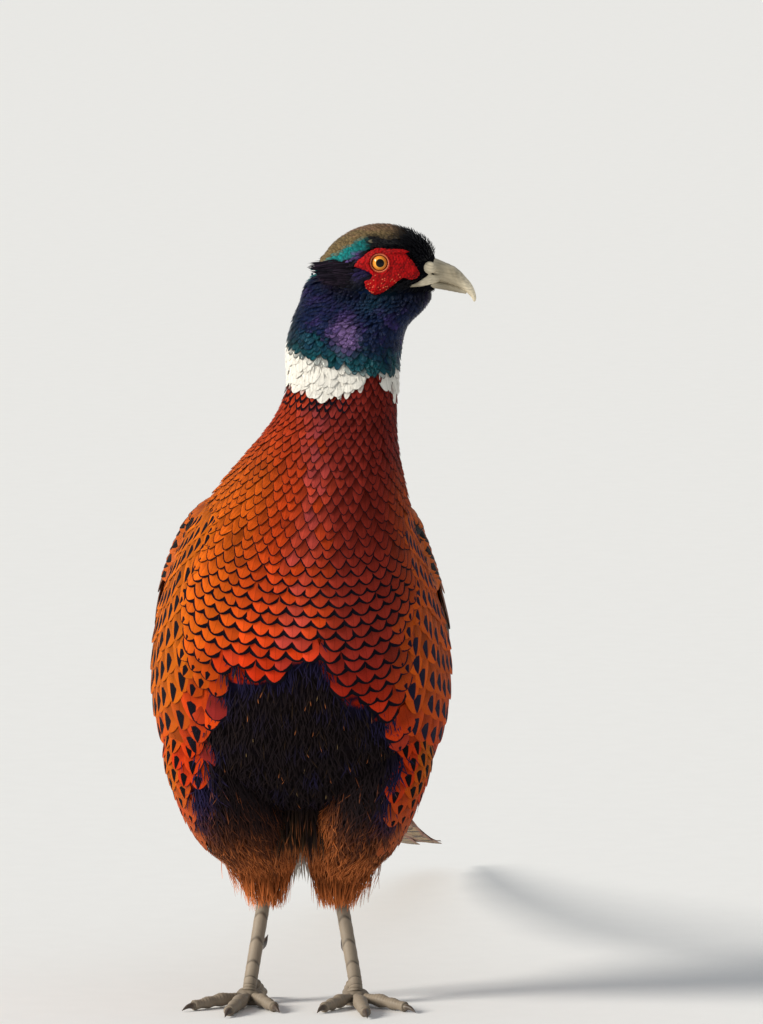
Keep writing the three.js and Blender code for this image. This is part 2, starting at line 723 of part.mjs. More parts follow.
function tail() {
  const root = bodyLoft.solid(...TAIL_ROOT_MESH, 0, TAIL_STATION - 0.5);
  const pieces = [root.intersect(pastStation(TAIL_STATION, GAP / 2))];
  RECTRICES.forEach((share, pair) => {
    for (const side of [LEFT, RIGHT]) {
      const layer = 2 * pair + (side === LEFT ? 0 : 1);
      const path = tailPath({
        across: side * (1.5 + 1.2 * pair),
        splay: side * 0.5 * pair,
        lower: TAIL_LAYER * layer - 2,
        length: share * TAIL_LENGTH,
        from: 4,
      });
      pieces.push(vane(path, pair < 3 ? 7 : 3, feather(17.5 - pair, pair < 3 ? 1.5 : 2.2)));
    }
  });
  for (const { count, length, half, lower, layer, from } of TAIL_COVERTS) {
    for (let i = 0; i < count; i++) {
      const off = i - (count - 1) / 2;
      const depth = lower + layer * (Math.abs(off) - (off > 0 ? 0.5 : 0));
      const long = length - 9 * Math.abs(off);
      const path = tailPath({ across: 6.5 * off, splay: 1.5 * off, lower: depth, length: long, from });
      pieces.push(vane(path, 4, feather(half, 3)));
    }
  }
  return union(pieces);
}

// Legs: shaggy thighs, scaled shanks with spurs, and four toes with claws

// Locks hang from the thigh in two tiers and end in a ragged hem over the hock.
function thigh(side) {
  const loft = new Loft(THIGH[side]);
  const pieces = [loft.solid(12, 1.17)];
  for (const { count, station, reach, drop, half } of THIGH_LOCKS) {
    for (let i = 0; i < count; i++) {
      const turn = (2 * Math.PI * (i + 0.3)) / count;
      const root = loft.point(station - 0.4, turn, -2.5);
      const bend = loft.point(station + 0.3, turn, 1);
      const tip = loft.point(station + reach, turn, 0.6).add(vec(0, 0, -drop * (1 + 0.4 * ((i * 2) % 3))));
      const away = bend.clone().sub(loft.frame(station).centre).setZ(0).normalize();
      const width = (s) => Math.max(0.4, half * (1 - 0.9 * s * s));
      pieces.push(vane(pathThrough([root, bend, tip], away), 2, width, 1.6));
    }
  }
  const torsoRoom = bodyLoft.solid(...BODY_MESH, GAP);
  return union(pieces).subtract(torsoRoom);
}

// The row of scutes down its front is a row of steps in its own surface.
function shank(side, lift = 0) {
  const hock = vec(...HOCK[side]);
  const foot = vec(...FOOT_AT[side]);
  const path = [
    hock.clone().add(vec(0, 3, 5)),
    hock.clone().add(vec(side, -1, -7)),
    foot.clone().add(vec(-side, 3, 15)),
    foot.clone().add(vec(0, 0, 6.5)),
  ];
  const radius = (s) => {
    const knob = 2.2 * Math.exp(-(((s - 0.08) / 0.09) ** 2));
    const scute = lift > 0 ? SCUTE_STEP : SCUTE_STEP * (1 - ((s * 2 * SCUTES) % 2) / 1.1);
    return 3.5 + knob + 1.3 * smooth(0.82, 1, s) + Math.max(0, scute) + lift;
  };
  return limb(path, radius, 7, 2 * SCUTES, vec(0, -1, 0.3), 0.5, 1.12);
}

function pad(side) {
  const profile = [[0, PAD[0][1]], ...PAD, [0, PAD.at(-1)[1]]].map(([r, z]) => new THREE.Vector2(r, z));
  return inBird(footGroups[side], solid(new THREE.LatheGeometry(profile, 10).rotateX(Math.PI / 2)));
}

const toeRadius = (wide) => (s) =>
  wide * (0.6 + 0.4 * smooth(0, 0.25, s)) * (1 - 0.34 * s) * (1 + 0.1 * Math.cos(s * 6 * Math.PI));

// A claw that goes on from the end of its toe, curving down to just over the ground.
function claw(start, way, long, wide) {
  const at = (d) => start.clone().addScaledVector(way, d);
  const level = way.clone().setZ(0).normalize();
  const tip = start.clone().addScaledVector(level, long).setZ(0.9);
  const points = [at(GAP), at(long * 0.4).addScaledVector(level, long * 0.1), tip];
  return limb(points, (s) => Math.max(0.3, wide * Math.pow(1 - s, 0.75)), 6, 4, vec(0, 0, 1), 0.4);
}

function toe(side, { name, length, wide }, path) {
  const group = footGroups[side];
  const way = path.at(-1).clone().sub(path.at(-2)).normalize();
  const label = `${name}_${labelOf(side)}`;
  place(`toe_${label}`, limb(path, toeRadius(wide), 7, Math.round(length / 6), vec(0, 0, 1), 0), "leg", group);
  place(`claw_${label}`, claw(path.at(-1), way, 0.3 * length ** 0.9, 0.55 * wide), "claw", group);
}

function foot(side) {
  for (const spec of TOES) {
    const way = vec(0, -1, 0).applyAxisAngle(vec(0, 0, 1), radians(spec.turn * side));
    const at = (d, z) => way.clone().multiplyScalar(d).setZ(z);
    const [near, far] = [PAD[1][0] + GAP, spec.length];
    toe(side, spec, [at(near, 4.2), at(lerp(near, far, 0.4), 4), at(lerp(near, far, 0.7), 3.4), at(far, 2.8)]);
  }
  const hind = [vec(-side, 6.6, HALLUX.rise), vec(-2 * side, 11, 8), vec(-3 * side, 6.6 + HALLUX.length, 3.4)];
  toe(side, HALLUX, hind);
}

function spur(side) {
  const root = vec(...HOCK[side]).lerp(vec(...FOOT_AT[side]), 0.62).add(vec(0, 2, 3));
  const points = [root, root.clone().add(vec(-3 * side, 7, 0.5)), root.clone().add(vec(-5 * side, 14, 4.5))];
  return limb(points, (s) => Math.max(0.35, 3.2 * Math.pow(1 - s, 0.8)), 8, 5, vec(0, 0, 1));
}

function leg(side) {
  const label = labelOf(side);
  const shankRoom = shank(side, GAP);
  place(`thigh_${label}`, thigh(side).subtract(shankRoom), "thigh");
  place(`tarsus_${label}`, union([shank(side), pad(side)]), "leg");
  place(`spur_${label}`, spur(side).subtract(shankRoom), "claw");
  foot(side);
}

// Assembly

head();
torso();
place("wing_left", wing(LEFT), "wing");
place("wing_right", wing(RIGHT), "wing");
place("tail", tail(), "tail");
leg(LEFT);
leg(RIGHT);

// The origin is the middle of the part's footprint, at the level it stands on.
const box = new THREE.Box3().setFromObject(bird);
bird.position.set(-(box.min.x + box.max.x) / 2, -(box.min.y + box.max.y) / 2, -box.min.z);

export default bird;
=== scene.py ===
# A life-size cock common pheasant: skin, coat of feathers, bare parts, a pale floor, lights and camera.
# Sizes here are millimetres in the bird's own frame, where it faces -Y, its left side is +X and +Z is up.
# Meshes are written in metres in the part's frame.
import math

import bpy
import numpy as np
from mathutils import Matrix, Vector
from mathutils.bvhtree import BVHTree
from mathutils.kdtree import KDTree


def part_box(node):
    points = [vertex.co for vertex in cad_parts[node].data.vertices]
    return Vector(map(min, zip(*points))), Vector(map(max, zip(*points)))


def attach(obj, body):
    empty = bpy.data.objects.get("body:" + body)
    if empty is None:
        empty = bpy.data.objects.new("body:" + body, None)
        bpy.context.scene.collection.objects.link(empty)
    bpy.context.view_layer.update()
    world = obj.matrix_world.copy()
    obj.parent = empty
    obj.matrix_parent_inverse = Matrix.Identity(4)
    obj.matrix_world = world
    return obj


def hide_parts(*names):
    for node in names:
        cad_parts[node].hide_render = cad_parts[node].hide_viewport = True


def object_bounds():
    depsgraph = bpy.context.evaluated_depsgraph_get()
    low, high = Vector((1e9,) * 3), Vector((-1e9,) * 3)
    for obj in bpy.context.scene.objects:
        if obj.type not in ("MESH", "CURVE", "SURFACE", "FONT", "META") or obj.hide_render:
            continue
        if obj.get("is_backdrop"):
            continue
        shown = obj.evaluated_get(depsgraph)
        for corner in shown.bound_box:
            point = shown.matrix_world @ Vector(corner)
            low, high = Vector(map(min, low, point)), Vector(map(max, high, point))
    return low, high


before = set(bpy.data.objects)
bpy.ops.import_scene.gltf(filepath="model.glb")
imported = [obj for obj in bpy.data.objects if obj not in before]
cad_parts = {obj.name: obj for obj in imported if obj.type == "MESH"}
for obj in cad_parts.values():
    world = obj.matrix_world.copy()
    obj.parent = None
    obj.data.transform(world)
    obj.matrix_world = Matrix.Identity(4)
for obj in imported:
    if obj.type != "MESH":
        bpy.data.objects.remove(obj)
CAD_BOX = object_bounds()
rng = np.random.default_rng(7)

# Driving sizes, the same as the solids'

EYE_AT = np.array([44.5, -42, 404.0])
HEAD_YAW = math.radians(-5)
TAIL = {"root": (0, 135, 136), "yaw": math.radians(5.5), "length": 460, "fall": 0.41, "curve": 3.15e-4}
# Stations of the body from the throat to the rump: centre, half width, reach to the back, reach to the belly.
BODY = [
    (41, -42, 402, 24, 7, 7),
    (39, -42, 391, 33, 12, 12),
    (35.5, -42, 380, 33, 18.5, 18.5),
    (27.8, -42, 368, 29.8, 22.5, 23),
    (24.8, -43, 353, 29.3, 25, 26),
    (24.5, -44, 337, 28.7, 27, 28),
    (20.5, -44, 319, 32, 30, 32),
    (13.5, -43, 299, 40.5, 37, 41),
    (7, -37, 277, 51, 45, 50),
    (1.5, -27, 253, 61, 53, 58),
    (-0.5, -11, 227, 70, 60, 69),
    (-1.5, 12, 201, 77, 62, 80),
    (-1.5, 40, 177, 79, 56, 82),
    (-1, 70, 158, 68, 46, 66),
    (0, 98, 146, 49, 32, 43),
    (0, 118, 140.5, 36, 21, 26),
    (0, 135, 136, 25, 13.5, 15),
    (1.5, 151, 129, 20, 10, 11),
    (2.5, 163, 124, 10, 4, 5),
]
# The folded wings run on past the rump.
WING_REAR = [
    (0, 71, 156, 69, 48, 64),
    (0, 102, 142, 57, 42, 52),
    (0, 132, 129, 45, 36, 42),
    (0, 160, 117, 36, 31, 34),
    (0, 188, 105, 30, 27, 28),
]
# Stations of the head from the nape to the bill: forward, left, up, half width, reach up and reach down.
HEAD = [
    (-32.5, 0, -6, 4, 5, 5),
    (-29.5, 0, -5, 9.5, 7, 8),
    (-24, 0, -4, 13.3, 12.6, 18),
    (-15, 0, -3, 16, 17.5, 22),
    (-5, 0, -2, 17, 19.6, 23),
    (5, 0, -2, 16.6, 19.8, 23),
    (14, 0, -2.5, 14.8, 18.2, 21),
    (21, 0, -3.5, 12.2, 16.2, 16.5),
    (26, 0, -5, 9.6, 13.6, 12.5),
    (28.8, 0, -7, 7.6, 9.5, 10),
    (31, 0, -9, 4.5, 5, 6),
]
BILL_UPPER = [
    (20, 0, -4.5, 6.4, 7, 7),
    (27, 0, -5.8, 6.6, 6.4, 7),
    (32, 0, -7, 6.1, 5.6, 6.2),
    (37.5, 0, -9, 5.2, 5.1, 5.2),
    (42.5, 0, -12, 4.1, 3.7, 3.9),
    (46.5, 0, -15.4, 2.9, 2.6, 2.6),
    (49, 0, -19.2, 1.7, 1.5, 1.4),
    (49.8, 0, -22.4, 0.7, 0.7, 0.6),
]
BILL_LOWER = [
    (19, 0, -12.6, 6.6, 2, 2.4),
    (27, 0, -13.6, 6, 2.1, 2.5),
    (35, 0, -15, 4.7, 2, 2.3),
    (42, 0, -16.8, 3.3, 1.7, 1.8),
    (45.6, 0, -18.2, 1.6, 1, 1),
]
EYEBALL = 6.1
EYE_OUT = 12.3
EYE_SHIFT = (1.8, -1.3)  # the eye and its face patch lie this far forward and up in the head
# The red face patch in profile, clockwise from behind the eye: forward and up from the eye.
WATTLE_TOP = [(-14, -2), (-8.5, 3.6), (-3, 7.6), (4, 7.4), (11, 6), (16, 2.4), (19.5, -3)]
WATTLE_FRONT = [(20.8, -6.4), (17.5, -9.2), (12, -7.6), (8, -11), (3, -14.6), (-1.5, -17)]
WATTLE_BACK = [(-5, -16), (-8.8, -10.5), (-5, -8.6), (-3.6, -6), (-8.5, -3.6)]
WATTLE = WATTLE_TOP + WATTLE_FRONT + WATTLE_BACK
THIGHS = {
    "left": [
        (40, 2, 152, 28, 30, 32),
        (39.5, 6, 134, 30, 33, 34),
        (36.5, 12, 118, 28.5, 33, 33),
        (31, 20, 102, 27, 29, 30),
        (25.5, 28, 87, 24.5, 22, 24),
        (20, 34, 73, 17.5, 16, 16),
        (17, 40, 61, 9.5, 9, 9),
    ],
    "right": [
        (-44, 2, 152, 28, 30, 32),
        (-42.5, 6, 134, 31, 33, 34),
        (-39.5, 12, 118, 29.5, 33, 33),
        (-34.5, 20, 102, 28.5, 29, 30),
        (-28.5, 28, 88, 25.5, 22, 24),
        (-23, 34, 75, 18, 16, 16),
        (-20.5, 40, 64, 9.5, 9, 9),
    ],
}
# The white ring: its upper edge tilts, and it narrows to a gap near one angle round the neck.
COLLAR = {"x": 24.5, "y": -43, "level": 357, "tilt": 9, "turned": math.radians(40), "width": 18, "slope": 4}
COLLAR_GAP = {"at": math.radians(-55), "reach": math.radians(12), "high": 20}
# The folded wing: degrees from the middle of the back, and how deep it is over the body at each station.
WING = {"top": 24, "foot": 76, "rest": 1.4, "from": 8.6, "to": 13.2}
WING_STATIONS = (8.3, 8.6, 9.1, 9.6, 10.2, 11, 11.8, 12.9, 15.5)
WING_DEPTHS = (0.0, 1.3, 4.4, 4.2, 3.8, 3.0, 2.1, 1.4, 0.2)
HOCK = {"left": (17, 43, 66), "right": (-20, 42, 69)}
FOOT_AT = {"left": (28, 19, 0), "right": (-29, 19, 0)}
FOOT_SPREAD = math.radians(9)
PAD = [(0, 0), (6.2, 0), (7.6, 1.6), (7.6, 4.6), (5.8, 7.2), (3.6, 8.4), (0, 8.6)]
TOES = {"inner": (-34, 36, 3.7), "middle": (0, 49, 4.0), "outer": (35, 40, 3.6)}  # turn, length, half width
HIND = {"length": 15, "wide": 2.9, "rise": 11}
SIDES = {"left": 1, "right": -1}

TURN = 2 * math.pi
FRONT = math.pi  # angles round the body run from the middle of the back

# The part's frame: the eyes are where the solids have them

eye_boxes = [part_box(f"eye_{side}") for side in SIDES]
SHIFT = np.array(sum((low + high for low, high in eye_boxes), Vector()) / 4) - EYE_AT / 1000
FORWARD = np.array([math.cos(HEAD_YAW), math.sin(HEAD_YAW), 0.0])
LEFTWARD = np.array([-math.sin(HEAD_YAW), math.cos(HEAD_YAW), 0.0])
UPWARD = np.array([0.0, 0.0, 1.0])


def metres(points):
    return np.asarray(points, float) / 1000 + SHIFT


def millimetres(points):
    return (np.asarray(points, float) - SHIFT) * 1000


def from_head(points):
    """Places given forward, left and up from the middle between the eyes."""
    points = np.asarray(points, float)
    return EYE_AT + points[..., :1] * FORWARD + points[..., 1:2] * LEFTWARD + points[..., 2:] * UPWARD


def to_head(points):
    away = np.asarray(points, float) - EYE_AT
    return np.stack([away @ FORWARD, away @ LEFTWARD, away @ UPWARD], -1)


# Small helpers


def round_angles(count):
    return np.linspace(0, TURN, count, endpoint=False)


def unit(v):
    return v / np.maximum(np.linalg.norm(v, axis=-1, keepdims=True), 1e-12)


def ramp(low, high, x):
    """A soft step from zero at one value to one at the other."""
    k = np.clip((np.asarray(x, float) - low) / (high - low), 0, 1)
    return k * k * (3 - 2 * k)


def spot(x, z, at, radii):
    """A soft round spot: one in its middle, and nearly nothing past its radii."""
    return np.exp(-(((x - at[0]) / radii[0]) ** 2 + ((z - at[1]) / radii[1]) ** 2))


def tone(code):
    """A colour from its screen code, as linear light."""
    parts = [int(code[i : i + 2], 16) / 255 for i in (0, 2, 4)]
    return np.array([p / 12.92 if p <= 0.04045 else ((p + 0.055) / 1.055) ** 2.4 for p in parts])


def blend(a, b, k):
    """A colour that passes from one to another by a share."""
    k = np.asarray(k, float)[..., None]
    return a * (1 - k) + b * k


def smooth_curve(points, u):
    """Points on a smooth curve through the given ones, where u counts them."""
    points = np.asarray(points, float)
    ends = np.vstack([2 * points[0] - points[1], points, 2 * points[-1] - points[-2]])
    u = np.clip(u, 0, len(points) - 1)
    i = np.minimum(u.astype(int), len(points) - 2)
    w = (u - i)[..., None]
    p0, p1, p2, p3 = (ends[i + k] for k in range(4))
    m1, m2 = (p2 - p0) / 2, (p3 - p1) / 2
    a, b = 2 * w**3 - 3 * w**2 + 1, w**3 - 2 * w**2 + w
    return a * p1 + b * m1 + (1 - a) * p2 + (w**3 - w**2) * m2


WAVES = 7


def smooth_noise(points, size, seed):
    """Soft noise from a few waves of random direction, between about -1 and 1."""
    waves = np.random.default_rng(seed)
    total = np.zeros(np.shape(points)[:-1])
    for _ in range(WAVES):
        direction = unit(waves.normal(size=3)) * TURN / size * waves.uniform(0.6, 1.5)
        total += np.sin(points @ direction + waves.uniform(0, TURN))
    return total / 3


def from_front(angle):
    """How far round from the middle of the breast an angle is, on either side."""
    return np.abs(np.mod(angle, TURN) - FRONT)


def spaced(points, gap):
    """The places in a list that keep at least a gap from those before them."""
    cells, kept = {}, []
    keys = np.floor(points / gap).astype(int)
    near = [(i, j, k) for i in (-1, 0, 1) for j in (-1, 0, 1) for k in (-1, 0, 1)]
    for n, (point, (x, y, z)) in enumerate(zip(points, keys.tolist())):
        others = [m for i, j, k in near for m in cells.get((x + i, y + j, z + k), ())]
        if others and np.min(np.sum((points[others] - point) ** 2, 1)) < gap * gap:
            continue
        cells.setdefault((x, y, z), []).append(n)
        kept.append(n)
    return np.array(kept)


class Loft:
    """The same rounded form as in the solids: stations of centre, half width, reach to back and belly."""

    def __init__(self, stations, power=2.0, side=(1.0, 0, 0), back=None, place=None, lift=None):
        self.stations = np.array(stations, float)
        self.power, self.side, self.back, self.place, self.lift = power, np.array(side), back, place, lift

    def point(self, station, angle, more=0.0):
        """Places at stations and angles, as far outside the form as more says."""
        station, angle = np.broadcast_arrays(np.asarray(station, float), angle)
        here = smooth_curve(self.stations, station)
        before, after = (smooth_curve(self.stations[:, :3], station + step) for step in (-2e-3, 2e-3))
        along = unit(after - before)
        side = self.side
        back = unit(np.cross(side, along)) if self.back is None else np.broadcast_to(self.back, along.shape)
        power = np.where(np.cos(angle) > 0, 2.0, self.power)
        sine, cosine = (np.sign(v) * np.abs(v) ** (2 / power) for v in (np.sin(angle), np.cos(angle)))
        depth = np.where(cosine > 0, here[..., 4], here[..., 5])
        points = here[..., :3] + side * (here[..., 3] * sine)[..., None] + back * (depth * cosine)[..., None]
        lift = more + (self.lift(station, angle) if self.lift else 0.0)
        steep_side, steep_back = (np.sign(v) * np.abs(v) ** (power - 1) for v in (sine, cosine))
        out = unit(side * (steep_side / here[..., 3])[..., None] + back * (steep_back / depth)[..., None])
        points = points + out * np.broadcast_to(lift, station.shape)[..., None]
        return self.place(points) if self.place else points

    def tube(self, sides, steps, first=0.0, last=None):
        """A closed mesh of the loft: points and faces."""
        last = len(self.stations) - 1 if last is None else last
        stations = np.linspace(first, last, steps)
        return tube(self.point(stations[:, None], round_angles(sides)[None, :]))


class Ground:
    """A surface that feathers grow on: rows down a loft, with its outward side. The gap between rows is a
    number, or stations with the gap at each. The columns of each half are evenly spaced, so pi is the middle
    of the front. Every angle has as many rows, unless they are even: then they are equally far apart."""

    COLUMNS = 144
    FINE = 4  # samples to a row
    SAMPLES = 24  # to a station, when the rows are measured
    TRIES = 8e4  # random roots tried at a gap of one millimetre
    MARGIN = 0.02  # round the edges of the map

    def __init__(self, loft, first, last, gap, even=False):
        stations = np.linspace(first, last, int((last - first) * self.SAMPLES) + 1)
        points = self.evened(loft, stations)
        steps = np.linalg.norm(np.diff(points, axis=0), axis=-1)
        middle = (stations[1:] + stations[:-1]) / 2
        gaps = np.interp(middle, *gap) if isinstance(gap, tuple) else gap + 0 * middle
        rows = np.vstack([np.zeros(self.COLUMNS), np.cumsum(steps / gaps[:, None], axis=0)])
        self.rows = rows[-1].max() if even else rows[-1, self.COLUMNS // 2]
        if not even:
            rows *= self.rows / rows[-1]
        wanted = np.arange(0, self.rows, 1 / self.FINE)
        self.points = np.empty((len(wanted), self.COLUMNS, 3))
        self.station = np.empty((len(wanted), self.COLUMNS))
        for j in range(self.COLUMNS):
            self.station[:, j] = np.interp(wanted, rows[:, j], stations)
            for axis in range(3):
                self.points[:, j, axis] = np.interp(wanted, rows[:, j], points[:, j, axis])
        down = np.gradient(self.points, axis=0) * self.FINE
        around = (np.roll(self.points, -1, 1) - np.roll(self.points, 1, 1)) * self.COLUMNS / (2 * TURN)
        self.out = unit(np.cross(around, down))
        middle = self.points.mean(1, keepdims=True)
        if np.mean(np.sum(self.out * (self.points - middle), -1)) < 0:
            self.out = -self.out
        self.stretch = np.stack([np.linalg.norm(down, axis=-1), np.linalg.norm(around, axis=-1)], -1)

    def evened(self, loft, stations):
        """Points of the loft whose columns are evenly spaced round each half."""
        half = self.COLUMNS // 2
        shares = np.linspace(0, 1, half + 1)
        points = np.empty((len(stations), self.COLUMNS, 3))
        for n, start in ((0, 0.0), (1, math.pi)):
            fine = loft.point(stations[:, None], np.linspace(start, start + math.pi, 4 * half + 1)[None, :])
            steps = np.linalg.norm(np.diff(fine, axis=1), axis=-1)
            lengths = np.concatenate([np.zeros((len(stations), 1)), np.cumsum(steps, axis=1)], 1)
            for i, length in enumerate(lengths):
                for axis in range(3):
                    evened = np.interp(shares * length[-1], length, fine[i, :, axis])
                    points[i, n * half : (n + 1) * half, axis] = evened[:half]
        return points

    def read(self, grid, row, angle):
        """A grid of the ground read between its samples."""
        i = np.clip(row * self.FINE, 0, len(grid) - 1.001)
        j = np.mod(angle / TURN * self.COLUMNS, self.COLUMNS)
        i0, j0 = i.astype(int), j.astype(int)
        a, b = i - i0, j - j0
        if grid.ndim == 3:
            a, b = a[..., None], b[..., None]
        j0, j1 = j0 % self.COLUMNS, (j0 + 1) % self.COLUMNS
        top = grid[i0, j0] * (1 - b) + grid[i0, j1] * b
        foot = grid[i0 + 1, j0] * (1 - b) + grid[i0 + 1, j1] * b
        return top * (1 - a) + foot * a

    def lay(self, row, angle, along, across, turn):
        """Places that lie along and across the surface from each root, and their outward sides."""
        stretch = self.read(self.stretch, row, angle)
        ahead = along * np.cos(turn)[:, None] - across * np.sin(turn)[:, None]
        aside = along * np.sin(turn)[:, None] + across * np.cos(turn)[:, None]
        r = row[:, None] + ahead / stretch[:, None, 0]
        a = angle[:, None] + aside / stretch[:, None, 1]
        return self.read(self.points, r, a), unit(self.read(self.out, r, a))

    def unwrap(self, row, angle):
        """Where each root lies on the unwrapped surface, a little inside the edges of the map."""
        shares = np.stack([np.mod(angle, TURN) / TURN, row / self.rows], -1)
        return shares * (1 - 2 * self.MARGIN) + self.MARGIN

    def row_of(self, station, angle):
        """The row at a station, for each pair."""
        column = np.mod(np.round(angle / TURN * self.COLUMNS), self.COLUMNS).astype(int)
        rows = np.arange(len(self.station)) / self.FINE
        return np.array([np.interp(st, self.station[:, j], rows) for st, j in zip(station, column)])

    def scattered(self, gap, first=0.0, last=1.0):
        """Random roots that keep a gap, between two shares of its rows."""
        count = int(self.TRIES / gap**2)
        row = rng.uniform(first * self.rows, last * self.rows, count)
        angle = rng.uniform(0, TURN, count)
        area = np.prod(self.read(self.stretch, row, angle), -1)
        fair = rng.random(count) < area / area.max()
        roots = Roots(self, row[fair], angle[fair])
        return roots[spaced(roots.at, gap)]


class Roots:
    """Where feathers grow on a ground: rows and angles, places, and where those lie on its map."""

    def __init__(self, ground, row, angle):
        self.ground, self.row, self.angle, self.count = ground, row, angle, len(row)
        self.at = self.below(0)
        self.on_map = ground.unwrap(row, angle)

    def __getitem__(self, chosen):
        return Roots(self.ground, self.row[chosen], self.angle[chosen])

    def below(self, rows):
        """Places so many rows below the roots."""
        return self.ground.read(self.ground.points, self.row + rows, self.angle)

    def stretch(self):
        """Millimetres to a row, and to a radian round."""
        return self.ground.read(self.ground.stretch, self.row, self.angle)

    def clear_of_skin(self):
        return self[exposed(self.at)]


class Paths:
    """Feathers that each follow a path of their own."""

    def __init__(self, count, on_map):
        self.ground, self.count, self.on_map = self, count, on_map
        self.row = self.angle = np.arange(count)


class Strands(Paths):
    """Feathers on curves: each has a root, a bend and a tip, and the way it faces."""

    def __init__(self, root, bend, tip, facing, on_map):
        super().__init__(len(root), on_map)
        self.root, self.bend, self.tip, self.facing = root, bend, tip, facing
        sides = (bend - root, tip - bend, tip - root)
        self.length = sum(np.linalg.norm(side, axis=-1) for side in sides) / 2

    def lay(self, index, _angle, along, across, _turn):
        s = (along / self.length[index, None])[..., None]
        root, bend, tip = (v[index, None] for v in (self.root, self.bend, self.tip))
        at = (1 - s) ** 2 * root + 2 * s * (1 - s) * bend + s**2 * tip
        way = unit((1 - s) * (bend - root) + s * (tip - bend))
        side = unit(np.cross(way, self.facing[index, None]))
        return at + side * across[..., None], unit(np.cross(side, way))


class Tail(Paths):
    """The long feathers' paths: each has its place across the tail's root, its splay and its depth."""

    def __init__(self, across, splay, lower, start, on_map):
        super().__init__(len(across), on_map)
        self.across, self.splay, self.lower, self.start = across, np.tan(splay), lower, start
        self.side = np.array([math.cos(TAIL["yaw"]), -math.sin(TAIL["yaw"]), 0])
        self.away = np.array([math.sin(TAIL["yaw"]), math.cos(TAIL["yaw"]), 0])

    def lay(self, index, _angle, along, across, _turn):
        d = self.start[index, None] + along
        aside = self.across[index, None] + self.splay[index, None] * d + across
        fall = TAIL["fall"] * d - TAIL["curve"] * d * d + self.lower[index, None]
        points = np.array(TAIL["root"]) + self.away * d[..., None] + self.side * aside[..., None]
        points = points - UPWARD * fall[..., None]
        slope = 2 * TAIL["curve"] * d - TAIL["fall"]
        up = unit(UPWARD - self.away * slope[..., None])
        return points, up


# Meshes


def grid_faces(rows, columns, wrap=False):
    """Faces of a grid of points, which may close on itself sideways."""
    index = np.arange(rows * columns).reshape(rows, columns)
    if wrap:
        index = np.concatenate([index, index[:, :1]], 1)
    return np.stack([index[:-1, :-1], index[:-1, 1:], index[1:, 1:], index[1:, :-1]], -1).reshape(-1, 4)


def tube(rings):
    """A closed mesh through rings of points."""
    rows, columns = rings.shape[:2]
    ends = [np.arange(columns)[::-1][None], (np.arange(columns) + (rows - 1) * columns)[None]]
    return rings.reshape(-1, 3), [grid_faces(rows, columns, wrap=True), *ends]


def shell(outer, inner):
    """A closed slab between two grids of points."""
    rows, columns = outer.shape[:2]
    index = np.arange(rows * columns).reshape(rows, columns)
    rim = np.concatenate([index[0, :-1], index[:-1, -1], index[-1, :0:-1], index[:0:-1, 0]])
    after, low = np.roll(rim, -1), rows * columns
    faces = grid_faces(rows, columns)
    walls = np.stack([rim, rim + low, after + low, after], 1)
    return np.concatenate([outer.reshape(-1, 3), inner.reshape(-1, 3)]), [faces, faces[:, ::-1] + low, walls]


NO_FLOOR = -1e9


def limb(path, radius, facing, sides, steps, floor=NO_FLOOR, squash=1.0):
    """A round tapered limb along points. radius takes the share along and the angle round from its upper
    side. Returns its rings, with those shares and angles."""
    s, turn = np.linspace(0, 1, steps + 1), round_angles(sides)
    at = smooth_curve(path, s * (len(path) - 1))
    along = unit(np.gradient(at, axis=0))
    side = unit(np.cross(np.array(facing, float), along))
    up = np.cross(along, side)
    r = radius(s[:, None], turn[None, :])
    rings = at[:, None] + side[:, None] * (r * np.sin(turn))[..., None]
    rings = rings + up[:, None] * (r * squash * np.cos(turn))[..., None]
    rings[..., 2] = np.maximum(rings[..., 2], floor)
    return rings, np.broadcast_to(s[:, None], r.shape), np.broadcast_to(turn, r.shape)


def joined(parts):
    """One mesh of several: points and faces."""
    start, points, faces = 0, [], []
    for more, lists in parts:
        points.append(more)
        faces += [f + start for f in lists]
        start += len(more)
    return np.concatenate(points), faces


def mesh_object(name, points, faces, uvs=None, colours=None):
    """A mesh from points in millimetres and lists of faces of equal size."""
    mesh = bpy.data.meshes.new(name)
    points = metres(points)
    loops = np.concatenate([f.ravel() for f in faces]).astype(np.int32)
    sizes = np.concatenate([np.full(len(f), f.shape[1]) for f in faces])
    starts = np.concatenate([[0], np.cumsum(sizes)[:-1]]).astype(np.int32)
    mesh.vertices.add(len(points))
    mesh.vertices.foreach_set("co", points.astype(np.float32).ravel())
    mesh.loops.add(len(loops))
    mesh.loops.foreach_set("vertex_index", loops)
    mesh.polygons.add(len(starts))
    mesh.polygons.foreach_set("loop_start", starts)
    mesh.polygons.foreach_set("use_smooth", np.full(len(starts), True))
    for key, values in (uvs or {}).items():
        layer = mesh.uv_layers.new(name=key)
        layer.uv.foreach_set("vector", values[loops].astype(np.float32).ravel())
    mesh.update(calc_edges=True)
    mesh.validate()
    thing = bpy.data.objects.new(name, mesh)
    bpy.context.scene.collection.objects.link(thing)
    for key, values in (colours or {}).items():
        stain(thing, key, values)
    return thing


def stain(thing, key, values):
    """Stores a colour for each vertex."""
    layer = thing.data.color_attributes.new(key, "FLOAT_COLOR", "POINT")
    rgba = np.concatenate([values, np.ones((len(values), 4 - values.shape[1]))], 1)
    layer.data.foreach_set("color", rgba.astype(np.float32).ravel())


def dressed(thing, paint):
    """Gives a piece its material, and says what it rides on."""
    thing.data.materials.append(paint)
    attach(thing, "root")
    return thing


